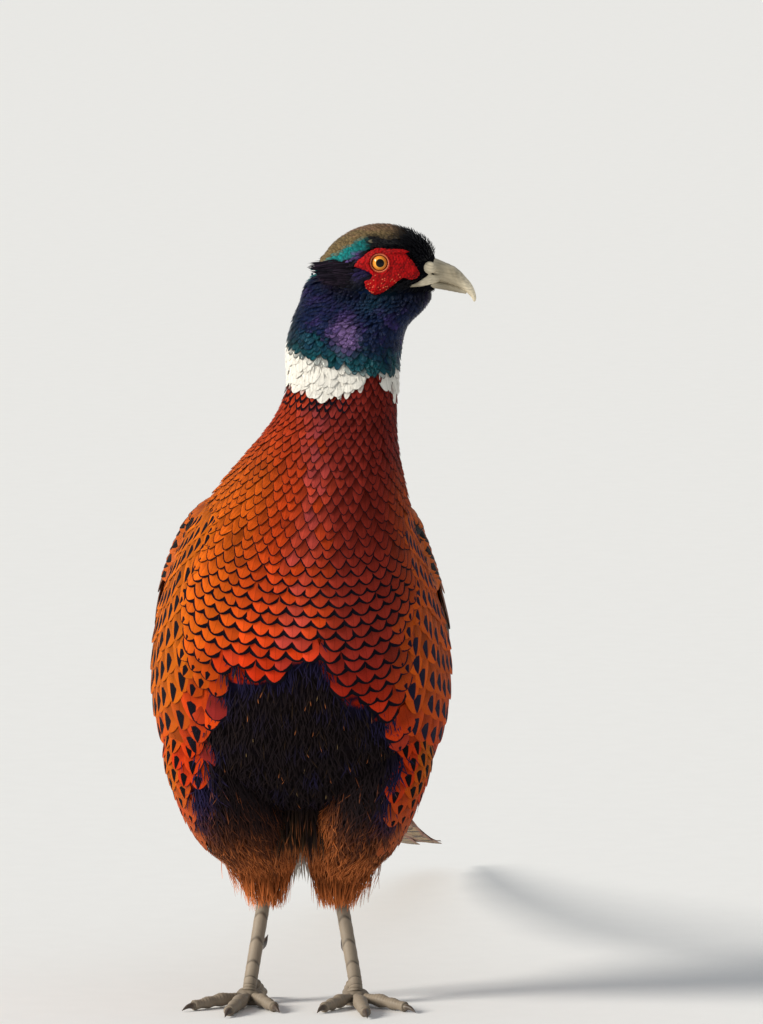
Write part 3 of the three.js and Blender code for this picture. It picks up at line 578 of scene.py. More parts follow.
def vane_template(along, across):
    """A vane's corners as shares along and across, and its faces: fine on the upper side, plain below."""
    s, t = np.meshgrid(np.linspace(0, 1, along + 1), np.linspace(-1, 1, across + 1), indexing="ij")
    index = np.arange(s.size).reshape(s.shape)
    rim = np.concatenate([index[:, 0], index[:, -1], index[-1, 1:-1]])
    low = s.size + np.arange(len(rim))
    left, right, tip = low[: along + 1], low[along + 1 : 2 * along + 2], low[2 * along + 2 :]
    under = np.stack([left[:-1], left[1:], right[1:], right[:-1]], 1)
    cap = np.concatenate([[left[-1]], tip, [right[-1]]])[None]
    every = np.concatenate([index.ravel(), rim])
    return s.ravel()[every], t.ravel()[every], [grid_faces(along + 1, across + 1), under, cap]


# Outlines of feathers: shares along and across the whole feather for each corner


def scale_outline(s, t, size):
    """A body feather: a narrow root and a wide, rounded tip."""
    short = size["corner"][:, None] * np.abs(t) ** 1.9
    return s - short * s**2, t * (0.45 + 0.55 * np.sin(np.minimum(s * 1.5, 1) * math.pi / 2))


def blade_outline(s, t, _size):
    """A pointed feather or a strand."""
    width = (0.35 + 0.65 * np.minimum(1, 4 * s)) * np.sqrt(np.maximum(1 - s**1.6, 0.0004))
    return s, t * width


def quill_outline(s, t, size):
    """A long flight feather with near parallel sides and a rounded tip, blunter or more pointed."""
    tapered = np.maximum(1 - s ** size["blunt"][:, None], 0.0) ** 0.62
    width = (0.32 + 0.68 * ramp(0, 0.25, s)) * tapered
    return s, t * np.maximum(width, 0.01)


# How a vane swells: shares of its hump along and across


def dome(s, t):
    return ramp(0, 0.5, s) * (1 - t**2)


def roof(s, t):
    """Two flat webs that fall away from a raised shaft."""
    return ramp(0, 0.15, s) * (1 - np.abs(t)) * (1 - 0.5 * s)


PATCH = 0.003  # how wide a feather's own patch is on the map of its piece
SCALE = {"mesh": (6, 6), "outline": scale_outline, "ridge": dome, "bend": 1.2}
WIDE = {**SCALE, "mesh": (6, 8)}
STRAND = {"mesh": (5, 2), "outline": blade_outline, "ridge": dome, "bend": 1.0}
QUILL = {"mesh": (22, 6), "outline": quill_outline, "ridge": roof, "bend": 0.7}
PLAIN = {"low": 0.0, "high": 0.0, "hump": 0.3, "corner": 0.25, "turn": 0.0, "blunt": 4.0}


def coat(name, roots, kind, sizes, colours, paint):
    """One feather for each root. Sizes are millimetres. Each size or colour is for all, or one for each."""
    count = roots.count
    size = {key: np.broadcast_to(value, count) for key, value in {**PLAIN, **sizes}.items()}
    s, t, faces = vane_template(*kind["mesh"])
    ahead, aside = (np.broadcast_to(share, (count, len(s))) for share in kind["outline"](s, t, size))
    along = ahead * size["length"][:, None]
    across = aside * size["width"][:, None] / 2
    points, out = roots.ground.lay(roots.row, roots.angle, along, across, size["turn"])
    lift = size["low"][:, None] + (size["high"] - size["low"])[:, None] * ahead ** kind["bend"]
    points = points + out * (lift + size["hump"][:, None] * kind["ridge"](s, t))[..., None]
    corners = len(s)
    first = np.arange(count)[:, None, None] * corners
    all_faces = [(f[None] + first).reshape(-1, f.shape[1]) for f in faces]
    vane = np.tile(np.stack([(t + 1) / 2, s], 1), (count, 1))
    bake = (roots.on_map[:, None] + PATCH * np.stack([aside / 2, ahead - 0.5], -1)).reshape(-1, 2)
    each = {key: np.broadcast_to(value, (count, 3)) for key, value in colours.items()}
    per_vertex = {key: np.repeat(value, corners, axis=0) for key, value in each.items()}
    made = mesh_object(name, points.reshape(-1, 3), all_faces, {"vane": vane, "OFBake": bake}, per_vertex)
    return dressed(made, paint)


def sided(sign, *grids):
    """Grids of points, turned over where the sign is negative, so that their faces look outwards."""
    return grids if sign > 0 else [grid[:, ::-1] for grid in grids]


# Materials: patterns are written as sums of numbers that run through the nodes


class Wire:
    """A number or colour in a material's nodes."""

    def __init__(self, tree, socket):
        self.tree, self.socket = tree, socket

    def math(self, operation, *others, swap=False):
        node = self.tree.nodes.new("ShaderNodeMath")
        node.operation = operation
        values = [self, *others]
        if swap:
            values.reverse()
        for slot, value in zip(node.inputs, values):
            plug(self.tree, slot, value)
        return Wire(self.tree, node.outputs[0])

    def __add__(self, other):
        return self.math("ADD", other)

    def __sub__(self, other):
        return self.math("SUBTRACT", other)

    def __rsub__(self, other):
        return self.math("SUBTRACT", other, swap=True)

    def __mul__(self, other):
        return self.math("MULTIPLY", other)

    def __truediv__(self, other):
        return self.math("DIVIDE", other)

    def __abs__(self):
        return self.math("ABSOLUTE")

    __radd__ = __add__

    def power(self, other):
        return self.math("POWER", other)

    def top(self, other):
        return self.math("MAXIMUM", other)

    def sine(self):
        return self.math("SINE")

    def ramp(self, low, high, start=0.0, end=1.0):
        node = self.tree.nodes.new("ShaderNodeMapRange")
        node.interpolation_type = "SMOOTHSTEP"
        for slot, value in zip(node.inputs, (self, low, high, start, end)):
            plug(self.tree, slot, value)
        return Wire(self.tree, node.outputs[0])


def plug(tree, slot, value):
    if isinstance(value, Wire):
        tree.links.new(value.socket, slot)
    else:
        slot.default_value = value


class Paint:
    """A material under construction."""

    def __init__(self, name, **settings):
        self.material = bpy.data.materials.new(name)
        self.material.use_nodes = True
        self.tree = self.material.node_tree
        self.shader = self.tree.nodes["Principled BSDF"]
        for key, value in settings.items():
            self.shader.inputs[key.replace("_", " ").title().replace("Ior", "IOR")].default_value = value

    def node(self, kind, inputs=None, output=0, **settings):
        node = self.tree.nodes.new(kind)
        for key, value in settings.items():
            setattr(node, key, value)
        for key, value in (inputs or {}).items():
            plug(self.tree, node.inputs[key], value)
        return Wire(self.tree, node.outputs[output])

    def attribute(self, name):
        return self.node("ShaderNodeAttribute", output="Color", attribute_name=name)

    def parts(self, vector):
        node = self.tree.nodes.new("ShaderNodeSeparateXYZ")
        plug(self.tree, node.inputs[0], vector)
        return [Wire(self.tree, out) for out in node.outputs]

    def mix(self, factor, a, b, how="MIX"):
        node = self.tree.nodes.new("ShaderNodeMix")
        node.data_type = "RGBA"
        node.blend_type = how
        for slot, value in ((node.inputs[0], factor), (node.inputs[6], a), (node.inputs[7], b)):
            plug(self.tree, slot, value if isinstance(value, (Wire, float)) else (*value, 1.0))
        return Wire(self.tree, node.outputs[2])

    def shaded(self, colour, shade):
        """A colour made lighter or darker by a number."""
        return self.mix(1.0, colour, self.join(shade, shade, shade), "MULTIPLY")

    def noise(self, scale, detail=2.0, vector=None):
        vector = vector or self.node("ShaderNodeTexCoord", output="Object")
        return self.node("ShaderNodeTexNoise", {"Vector": vector, "Scale": scale, "Detail": detail})

    def uv(self, name="vane"):
        return self.parts(self.node("ShaderNodeUVMap", uv_map=name))[:2]

    def join(self, x, y, z=0.0):
        return self.node("ShaderNodeCombineXYZ", {"X": x, "Y": y, "Z": z})

    def finish(self, colour, height=None, depth=0.0):
        """Wires the colour and the bump, whose depth is in metres."""
        plug(self.tree, self.shader.inputs["Base Color"], colour)
        if height is not None:
            bump = self.node("ShaderNodeBump", {"Height": height, "Distance": depth, "Strength": 1.0})
            plug(self.tree, self.shader.inputs["Normal"], bump)
        return self.material


def barbs_of(paint, t, s):
    """Fine slanting barbs either side of a feather's shaft."""
    slant = paint.join(t * 1.6 - s * 3.0, t * 0.4, 0.0)
    return paint.node("ShaderNodeTexWave", {"Vector": slant, "Scale": 14.0, "Distortion": 1.5}, output="Fac")


def feather_paint(name, barbs=0.12, root=0.62, specular_ior_level=0.15, **settings):
    """The look of a coat piece. Each feather carries its tint, the colour of its marks and their sizes:
    a dark rim, the dark cusps either side of its tip and a wedge that tapers to its tip."""
    paint = Paint(name, specular_ior_level=specular_ior_level, **settings)
    u, s = paint.uv()
    t = abs(u * 2.0 - 1.0)
    rim, cusp, wedge = paint.parts(paint.attribute("marks"))
    wobble = (paint.noise(900.0) - 0.5) * 0.05
    level = s + wobble
    bound = 1.0 - rim - cusp * t.power(1.8)
    edge = (level - bound).ramp(-0.012, 0.012) * (rim + cusp).ramp(0.0, 0.02)
    share = (level - 1.0 + wedge) / (wedge + 0.001)
    wide = share.ramp(0.0, 0.3).power(0.5) * (1.0 - share).top(0.0).power(0.6) * wedge * 1.15
    dark = edge.top((wide - t).ramp(-0.03, 0.04) * wide.ramp(0.0, 0.04))
    barb = barbs_of(paint, t, s)
    # painted shade: each feather darker towards its root, partly its own browner base and partly the shade of
    # the row above
    shade = s.ramp(0.45, 0.8, root, 1.0) * (1.0 - barbs + barb * (2 * barbs))
    shade = shade * (0.9 + paint.noise(2500.0, 1.0) * 0.2) * t.ramp(0.03, 0.07, 0.82, 1.0)
    colour = paint.mix(dark, paint.shaded(paint.attribute("tint"), shade), paint.attribute("deep"))
    return paint.finish(colour, height=barb, depth=0.00006)


def strand_paint(name, root=0.45, **settings):
    """Loose hair-like feathers: dark at the root, lighter at the tip, streaked along."""
    paint = Paint(name, specular_ior_level=0.06, **settings)
    u, s = paint.uv()
    streak = paint.noise(6.0, 2.0, paint.join(u * 5.0, s * 0.6, paint.noise(200.0)))
    shade = s.ramp(0.0, 0.75, root, 1.0) * (0.7 + streak * 0.6)
    colour = paint.mix(s.ramp(0.55, 1.0), paint.attribute("tint"), paint.attribute("deep"))
    return paint.finish(paint.shaded(colour, shade), height=streak, depth=0.0001)


def barred_paint(name, **settings):
    """Long feathers with bars across: each carries its length and the step of its bars, in decimetres."""
    paint = Paint(name, specular_ior_level=0.3, **settings)
    u, s = paint.uv()
    t = abs(u * 2.0 - 1.0)
    length, step, fringe = paint.parts(paint.attribute("marks"))
    wobble = (paint.noise(120.0, 3.0) - 0.5) * 0.14
    wave = ((s * length / step + wobble + t * 0.12) * TURN).sine()
    bar = wave.ramp(0.6, 0.85) * (1.0 - t.ramp(0.55, 0.95) * 0.55)
    speckle = paint.noise(650.0, 3.0).ramp(0.5, 0.68) * 0.45
    barb = barbs_of(paint, t, s * length * 9.0)
    base = paint.mix(t.ramp(0.55, 0.9) * fringe, paint.attribute("tint"), FRINGE)
    base = paint.mix(speckle, base, paint.attribute("deep"))
    colour = paint.mix(bar, base, paint.attribute("deep"))
    shaft = t.ramp(0.02, 0.06, 0.45, 1.0)
    colour = paint.shaded(colour, (0.86 + barb * 0.28) * shaft)
    return paint.finish(colour, height=barb, depth=0.00008)


def skin_paint(name, scale, amount, depth, specular_ior_level=0.3, **settings):
    """Bare skin, horn or scale: the vertices' tint, mottled and finely pitted."""
    paint = Paint(name, specular_ior_level=specular_ior_level, **settings)
    mottle, fine = paint.noise(scale, 4.0), paint.noise(scale * 6, 2.0)
    shade = (1.0 - amount / 2) + mottle * (amount * 0.6) + fine * (amount * 0.4)
    height = mottle * 0.4 + fine
    return paint.finish(paint.shaded(paint.attribute("tint"), shade), height=height, depth=depth)


# Colours

COPPER = tone("c03e10")
GOLD = tone("c4640a")
SCARLET = tone("d2300c")
MAROON = tone("6a1c1c")
MAUVE_SHEEN = tone("984450")
BLACK = tone("09070b")
SOOT = tone("1e1618")
VIOLET = tone("1f1b3a")
WHITE = tone("f2eee4")
TEAL = tone("0c7474")
BLUE = tone("172f62")
PURPLE = tone("43347a")
LILAC = tone("8a6ca4")
INK = tone("0b0b13")
OLIVE = tone("86714c")
TAN = tone("9c785c")
CREAM = tone("d8cba8")
BUFF = tone("c2a06c")
CHESTNUT = tone("9a5228")
RUST = tone("b4683a")
SAGE = tone("7d8368")
UMBER = tone("4a3626")
FRINGE = tone("94543c")
RED = tone("a60408")
ORANGE = tone("d0704c")
HORN = tone("dccfb4")
HORN_DARK = tone("7c7058")
LEG = tone("8d8070")
CLAW = tone("4b4038")
# Soft spots of colour on the head: colour, place forward and up, radii and strength.
HEAD_SPOTS = (
    (blend(TEAL, BLUE, 0.4) * 0.6, (0, -22), (9, 6), 0.8),
    (PURPLE * 0.7, (-7, -6.5), (3.6, 3), 1),
    (INK, (-15, -13), (12, 7), 0.85),
    (INK, (14, -24), (9, 8), 0.7),
    (UMBER * 0.25, (-24, -5), (8, 5), 1),
)


def varied(colour, low, high, count):
    """A colour for each feather, each one lighter or darker by chance."""
    return colour * rng.uniform(low, high, (count, 1))


def collar_levels(points):
    """The levels of the white ring's upper and lower edge round the neck."""
    turn = np.arctan2(points[..., 1] - COLLAR["y"], points[..., 0] - COLLAR["x"])
    top = COLLAR["level"] - COLLAR["tilt"] * np.cos(turn + COLLAR["turned"])
    off = np.mod(turn - COLLAR_GAP["at"] + math.pi, TURN) - math.pi
    pinch = COLLAR_GAP["high"] * np.exp(-np.abs(off) / COLLAR_GAP["reach"])
    return top, top - COLLAR["width"] + COLLAR["slope"] * np.cos(turn) + pinch


def belly_share(points, soft=6):
    """How far inside the dark patch of the belly a place is, as seen from the front: over 0.5 is inside."""
    x, z = points[..., 0], points[..., 2]
    ragged = smooth_noise(points, 22, 3) * 5 + smooth_noise(points, 8, 4) * 3
    wide = 51 - 9 * ramp(150, 187, z) - 6 * ramp(110, 70, z)
    side = ramp(soft, -soft, np.abs(x + 1) - wide + ragged)
    top = 184 + 11 * np.exp(-(((x - 12) / 9) ** 2)) - 15 * ramp(17, 28, x)
    return side * ramp(top + soft, top - soft, z + ragged) * ramp(95, 60, points[..., 1])


def flank_edge(z, angle):
    """Where the large marked feathers of the flank begin: how far round from the middle of the breast."""
    left = ramp(-0.1, 0.1, np.sin(angle))
    return 0.92 + ramp(200, 245, z) * (0.2 + 0.14 * left) - ramp(205, 180, z) * (0.24 - 0.16 * left)


def plumage(points, angle):
    """The tint, mark colour and mark sizes of the body's feathers at these places."""
    x, y, z = np.moveaxis(points, -1, 0)
    front = from_front(angle)
    flank = ramp(-0.15, 0.12, front + 0.06 * smooth_noise(points, 30, 5) - flank_edge(z, angle))
    flank = flank * ramp(285, 262, z)
    # The breast: copper and scarlet, golden on its sunny side as painted light, and maroon on the other side,
    # partly its own plum colour and partly painted shade
    # painted light: gold on the bird's right, the side the sun falls on
    right = ramp(2, -12, x)
    tint = blend(COPPER, SCARLET, ramp(215, 180, z) * ramp(1.0, 0.5, front))
    tint = blend(tint, GOLD, 0.5 * right * ramp(0.25, 0.8, front) * ramp(325, 285, z) * ramp(185, 210, z))
    tint = blend(tint, MAROON, ramp(268, 318, z) * 0.3)
    # painted shade: maroon towards the bird's left, the side away from the sun, partly its own plum colour
    shade = ramp(2, 18, x - 8 + smooth_noise(points, 16, 6) * 3) * ramp(150, 200, z)
    tint = blend(tint, MAROON, shade * 0.8)
    # The flanks and the shoulders
    shoulder = ramp(0.8, 1.4, front) * ramp(310, 270, z)
    # copper lower down is the flank's own colour; copper towards the bird's left, away from the sun, is
    # painted shade
    outer = blend(GOLD, COPPER, np.clip(0.15 + ramp(190, 110, z) * 0.55 + 0.45 * ramp(0, 30, x), 0, 1))
    outer = outer * (1 + 0.3 * ramp(165, 125, z))[..., None]
    tint = blend(tint, outer, np.maximum(flank, shoulder * 0.6))
    beside_belly = ramp(0.02, 0.3, belly_share(points, 34)) * ramp(2.0, 1.4, front)
    tint = blend(tint, blend(SCARLET, COPPER, 0.35), 0.8 * beside_belly * flank)
    # The purple line down the middle of the breast: a painted mauve sheen
    middle = np.exp(-(((x - 12 * ramp(215, 290, z)) / 7) ** 2)) * ramp(150, 200, z)
    tint = blend(tint, MAUVE_SHEEN, middle * np.clip(0.35 + 0.4 * smooth_noise(points, 9, 8), 0, 0.6))
    # painted light: the lower breast's tint is made up to 1.42 times brighter where it turns down from the
    # sun
    lower_breast_light = ramp(262, 205, z) * (0.1 + 0.9 * ramp(178, 205, z)) * (1 - flank)
    tint = tint * (1 + 0.42 * lower_breast_light)[..., None]
    # The back, the rump and the vent
    back = ramp(1.9, 2.3, front)
    tint = blend(tint, GOLD, back)
    lower = ramp(84, 104, y) * ramp(2.0, 2.4, front)
    tint = blend(tint, SAGE, lower)
    tint = blend(tint, RUST * 0.5, ramp(70, 96, y) * ramp(1.9, 1.5, front))
    # The belly's black, with violet near its edge
    belly = belly_share(points)
    violet = ramp(0.99, 0.6, belly_share(points, 14)) * 0.85 + 0.1 * ramp(0.3, 1, smooth_noise(points, 14, 9))
    tint = blend(tint, blend(SOOT, VIOLET, np.clip(violet, 0, 1)), ramp(0.35, 0.65, belly))
    # The white ring, and the glossy throat over it
    top, foot = collar_levels(points)
    ringed = ramp(-1.0, 1.0, z - foot)
    tint = blend(tint, WHITE, ringed)
    throat = ramp(-1.0, 1.0, z - top)
    teal = ramp(15, 2, z - top + 4 * smooth_noise(points, 9, 10))
    cloud = smooth_noise(points, 14, 11) + 0.5 * smooth_noise(points, 6, 14)
    sheen = ramp(0.0, 1.2, cloud - 0.3 * ramp(375, 390, z))
    glossy = blend(blend(BLUE * 0.5, PURPLE * 0.62, sheen), blend(TEAL, BLUE, 0.25) * 0.6, teal * 0.85)
    # painted sheen: a lilac highlight on the front of the neck
    glossy = blend(glossy, LILAC, np.clip(spot(x, z, (29, 367), (5, 6)), 0, 0.7) * ramp(-50, -62, y))
    glossy = blend(glossy, INK, ramp(14, 0, x + 3 * smooth_noise(points, 12, 15)) * 0.55)
    tint = blend(tint, glossy, throat)
    tint = np.clip(tint * (1 + 0.2 * smooth_noise(points, 3.1, 12))[..., None], 0, 1)
    # The dark marks: rims and cusps on the breast, wedges on the flanks and the back
    marked = (1 - ringed) * (1 - ramp(0.3, 0.7, belly))
    bold = ramp(275, 215, z)
    under_ring = ramp(-11, -5, z - foot) * ramp(34, 22, x) * marked
    rim = (0.035 + 0.025 * bold) * marked * (1 - flank) + 0.06 * throat + 0.14 * under_ring
    cusp = (0.11 + 0.14 * bold + 0.2 * under_ring) * (1 - flank) * marked * (1 - back)
    wedge = (0.4 * flank * (1 - back) + 0.36 * back * (1 - lower)) * marked
    # the marks are a little violet everywhere, and more so towards the bird's left, away from the sun, as
    # painted shade
    deep = blend(BLACK, VIOLET, 0.1 + 0.45 * ramp(0, 40, x) * flank)
    return tint, deep, np.stack([rim, cusp, wedge], -1)


def head_plumage(points):
    """The tints of the head's feathers: an olive crown over a dark, glossy face."""
    f, _, u = np.moveaxis(to_head(points), -1, 0)
    wave = smooth_noise(points, 9, 21)
    glossy = blend(BLUE, PURPLE, ramp(-0.5, 1, wave)) * 0.45
    tint = blend(INK, glossy, ramp(-10, -24, u + 0.35 * f + 3 * wave))
    for colour, at, radii, strength in HEAD_SPOTS:
        tint = blend(tint, colour, spot(f, u, at, radii) * strength)
    band = u - np.minimum(12.2 + 0.5 * f, 10.5) + 0.8 * wave  # height over the crown's lower edge
    tint = blend(tint, blend(PURPLE, LILAC, 0.35), ramp(-8, -5, band) * ramp(-20, -15, f) * ramp(-5, -9, f))
    tint = blend(tint, TEAL * 1.5, ramp(-4.5, -2.5, band) * ramp(-1, -7, f))
    crown = ramp(0.0, 3.0, band) * ramp(17, 7, f + 1.5 * wave)
    brown = blend(OLIVE, TAN, ramp(12, 17, u + 2 * wave))
    tint = blend(tint, brown, np.maximum(crown, ramp(-25, -28, f) * ramp(-4, 0, u)))
    tint = np.clip(tint * (1 + 0.22 * smooth_noise(points, 2.3, 22))[..., None], 0, 1)
    flecked = (f > -2) & (f < 16) & (np.abs(u - 10 + 0.1 * f) < 1.8) & (smooth_noise(points, 0.9, 23) > 0.95)
    return np.where(flecked[..., None], CREAM * 0.3, tint)


# The skin: the flesh solids made one, smoothed, and drawn in by the coat's depth

FLESH = ("head", "neck", "collar", "mantle", "rump", "vent", "belly", "breast", "thigh_left", "thigh_right")
COAT_DEPTH = 1.3
HEAD_COAT_LESS = 0.6  # the coat is this much thinner on the head


def solid_points(node):
    """A node's own mesh in millimetres, with its triangles."""
    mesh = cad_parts[node].data
    co = np.empty(len(mesh.vertices) * 3, np.float32)
    mesh.vertices.foreach_get("co", co)
    return millimetres(co.reshape(-1, 3)), [np.array([p.vertices[:] for p in mesh.polygons])]


def fused(name, parts, voxel, rounds):
    """One smooth mesh of several closed ones."""
    thing = mesh_object(name, *joined(parts))
    remesh = thing.modifiers.new("remesh", "REMESH")
    remesh.mode = "VOXEL"
    remesh.voxel_size = voxel / 1000
    remesh.use_smooth_shade = True
    smooth = thing.modifiers.new("smooth", "SMOOTH")
    smooth.iterations = rounds
    smooth.factor = 0.5
    made = bpy.data.meshes.new_from_object(thing.evaluated_get(bpy.context.evaluated_depsgraph_get()))
    thing.modifiers.clear()
    old = thing.data
    thing.data = made
    bpy.data.meshes.remove(old)
    made.name = name
    return thing


def corners_of(thing):
    """The vertices and their outward sides, in millimetres."""
    count = len(thing.data.vertices)
    co, out = np.empty(count * 3, np.float32), np.empty(count * 3, np.float32)
    thing.data.vertices.foreach_get("co", co)
    thing.data.vertex_normals.foreach_get("vector", out)
    return millimetres(co.reshape(-1, 3)), out.reshape(-1, 3).astype(float)


def reshape(thing, points):
    thing.data.vertices.foreach_set("co", metres(points).astype(np.float32).ravel())
    thing.data.update()


def head_level(points):
    """Height on a slant that follows the border of head and neck."""
    return points[:, 2] + 0.35 * (points[:, 0] - EYE_AT[0])


def wing_lift(station, angle):
    """How far the folded wing stands off the body."""
    degrees = np.abs(np.degrees(np.mod(angle + math.pi, TURN) - math.pi))
    across = np.clip((degrees - WING["top"]) / (WING["foot"] - WING["top"]), 0, 1)
    rest = WING["rest"] * np.interp(station, WING_STATIONS[:2], (0, 1))
    deep = np.interp(station, WING_STATIONS, WING_DEPTHS) + rest
    return deep * np.maximum(np.sin(math.pi * across), 0) ** 0.25


BODY_POWER, HEAD_POWER = 2.7, 2.3  # how square the forms are below
WING_BODY = BODY[:13] + WING_REAR
body_loft = Loft(BODY, BODY_POWER)
wing_loft = Loft(WING_BODY, BODY_POWER, lift=wing_lift)
bare_wing_loft = Loft(WING_BODY, BODY_POWER)
head_loft = Loft(HEAD[::-1], HEAD_POWER, side=(0, -1.0, 0), back=(0, 0, 1.0), place=from_head)


def wing_core(side):
    """The wing's flesh: a slab under its feathers."""
    stations = np.linspace(WING["from"], WING["to"], 40)[:, None]
    angles = side * np.radians(np.linspace(WING["top"], WING["foot"], 40))[None, :]
    outer, inner = wing_loft.point(stations, angles, -0.9), bare_wing_loft.point(stations, angles, -4.0)
    return shell(*sided(-side, outer, inner))


flesh = [solid_points(node) for node in FLESH if not node.startswith("thigh")]
flesh += [Loft(stations).tube(48, 40) for stations in THIGHS.values()]
flesh += [wing_core(side) for side in SIDES.values()]
flesh.append(body_loft.tube(48, 30, 14.5, 18.0))
skin = fused("skin", flesh, voxel=1.5, rounds=6)
points, out = corners_of(skin)
reshape(skin, points - out * (COAT_DEPTH - HEAD_COAT_LESS * ramp(378, 388, head_level(points)))[:, None])
skin_tree = BVHTree.FromObject(skin, bpy.context.evaluated_depsgraph_get())


def exposed(points, least=0.25):
    """Whether each place is at least so far outside the skin."""
    over = []
    for point in metres(points):
        near, out, _, _ = skin_tree.find_nearest(Vector(point))
        over.append((Vector(point) - near).dot(out) > least / 1000)
    return np.array(over)


# The body's feathers, in rows that slide outwards from the middle of the breast on both sides

ROW_STATIONS = (0, 1.6, 5, 7, 9, 10, 11, 17)
ROW_GAPS = (2.6, 3.0, 3.5, 4.3, 5.7, 7.0, 7.8, 8.0)  # between the rows at those stations
FINE = {"around": 44, "step": 1.0}  # the breast's feathers
LARGE = {"around": 33, "step": 1.6}  # those of the flanks and the back
SLIDE = 0.5  # how far each row moves round against the one above it
body_ground = Ground(body_loft, 0.2, 17.6, (ROW_STATIONS, ROW_GAPS))


def body_rows(around, step):
    """Roots in rows, so many round the body, with the rows a step apart."""
    rows, angles = [], []
    pitch = TURN / around
    for n, row in enumerate(np.arange(1, body_ground.rows - 1, step)):
        beta = (np.arange(around // 2 + 1) + (n * SLIDE) % 1.0) * pitch
        beta = beta[beta < math.pi - 0.2 * pitch]
        for half, least in ((-1, -0.01), (1, 0.3 * pitch)):
            kept = beta[beta > least]
            rows.append(np.full(len(kept), row))
            angles.append(FRONT + half * kept)
    rows, angles = np.concatenate(rows), np.concatenate(angles)
    rows = rows + rng.normal(0, 0.05, len(rows))
    return Roots(body_ground, rows, angles + rng.normal(0, 0.05 * pitch, len(rows)))


def large_share(roots):
    """How far roots are in the zone of the larger feathers: over 0.5 is inside it."""
    z = roots.at[:, 2]
    past_edge = from_front(roots.angle) + 0.05 * smooth_noise(roots.at, 30, 5) - flank_edge(z, roots.angle)
    return ramp(-0.1, 0.1, past_edge) * ramp(285, 275, z)


fine, large = body_rows(**FINE), body_rows(**LARGE)
fine, large = fine[large_share(fine) < 0.5], large[large_share(large) >= 0.5]
body = Roots(body_ground, np.concatenate([fine.row, large.row]), np.concatenate([fine.angle, large.angle]))
shown = exposed(body.at)
body, is_large = body[shown], (np.arange(body.count) >= fine.count)[shown]
row_mm, pitch_mm = body.stretch().T
row_mm = row_mm * np.where(is_large, LARGE["step"], FINE["step"])
pitch_mm = pitch_mm * TURN / np.where(is_large, LARGE["around"], FINE["around"])
still = np.zeros(body.count)
ends = body_ground.lay(body.row, body.angle, 1.9 * row_mm[:, None], still[:, None], still)[0][:, 0]
body_colours = dict(zip(("tint", "deep", "marks"), plumage(ends, body.angle)))
beside = from_front(body.angle)
is_neck = ends[:, 2] > collar_levels(ends)[1] + 4
is_back = (beside > 2.0) & ~is_neck
is_rump = is_back & (ends[:, 1] > 80)
is_vent = (ends[:, 1] > 84) & ~is_back
is_belly = (belly_share(ends) > 0.5) & ~is_neck & ~is_vent
is_front = ~(is_neck | is_back | is_vent | is_belly)
is_right = np.sin(body.angle) < 0

breast_paint = feather_paint("breast_feathers", roughness=0.62, specular_ior_level=0.05)
neck_paint = feather_paint("neck_feathers", roughness=0.34, metallic=0.25)
head_paint = feather_paint("head_feathers", barbs=0.2, roughness=0.42, metallic=0.1)
white_paint = feather_paint("white_feathers", barbs=0.05, root=0.9, roughness=0.8)
back_paint = feather_paint("back_feathers", roughness=0.55)
loose_paint = strand_paint("loose_feathers", roughness=0.7)
white_down_paint = strand_paint("white_down", root=0.8, roughness=0.8)


def body_coat(name, chosen, kind, sizes, paint):
    """One region's feathers on the body's rows."""
    sizes = {key: value[chosen] if np.ndim(value) else value for key, value in sizes.items()}
    colours = {key: value[chosen] for key, value in body_colours.items()}
    coat(name, body[chosen], kind, sizes, colours, paint)


slim = ramp(225, 275, ends[:, 2])  # the feathers are narrow and pointed towards the neck
base = {
    "length": (2.55 + 0.35 * slim) * row_mm,
    "width": (1.2 - 0.05 * slim) * pitch_mm,
    "low": -1.0,
    "high": 0.65 + rng.uniform(-0.18, 0.18, body.count),
    "hump": 0.07 * pitch_mm,
    "corner": 0.15 + 0.38 * slim,
    "turn": rng.normal(0, 0.08, body.count),
}
marked_sizes = {
    **base,
    "length": 2.3 * row_mm,
    "width": 1.32 * pitch_mm,
    "high": 0.5,
    "hump": 0.045 * pitch_mm,
    "corner": 0.36,
    "turn": base["turn"] + 0.25 * np.sign(np.sin(body.angle)) * ramp(2.2, 1.6, beside),
}
rounded = {**base, "corner": 0.34}
long_ones = {**rounded, "length": 3.0 * row_mm}
is_breast = is_front & ~is_large
body_coat("breast_feathers_right", is_breast & is_right, WIDE, base, breast_paint)
body_coat("breast_feathers_left", is_breast & ~is_right, WIDE, base, breast_paint)
body_coat("flank_feathers", is_front & is_large, WIDE, marked_sizes, breast_paint)
body_coat("mantle_feathers", is_back & ~is_rump, WIDE, rounded, back_paint)
body_coat("rump_feathers", is_rump, SCALE, long_ones, back_paint)
body_coat("vent_feathers", is_vent, SCALE, long_ones, back_paint)

# The white ring's large soft feathers, and the glossy ones over it that grow smaller towards the head


def loose_coat(name, gap, last, choose, sizes, tints, rim, paint):
    """Feathers scattered over a part of the neck. choose takes the places' heights over the ring's upper
    edge and over its lower edge, and sizes takes those over its upper edge."""
    roots = body_ground.scattered(gap, 0.0, last)
    roots = roots[choose(*(roots.at[:, 2] - level for level in collar_levels(roots.at)))].clear_of_skin()
    tint = tints(roots)
    colours = {"tint": tint, "deep": tint * 0.35, "marks": (rim, 0.0, 0.0)}
    turn = rng.normal(0, 0.16, roots.count)
    over = roots.at[:, 2] - collar_levels(roots.at)[0]
    coat(name, roots, WIDE, {"low": -0.8, "corner": 0.42, "turn": turn, **sizes(over)}, colours, paint)


def ring_sizes(over):
    high = 1.0 + 0.25 * rng.random(len(over))
    return {"length": 12.5 * rng.uniform(0.85, 1.1, len(over)), "width": 9.5, "high": high, "hump": 0.3}


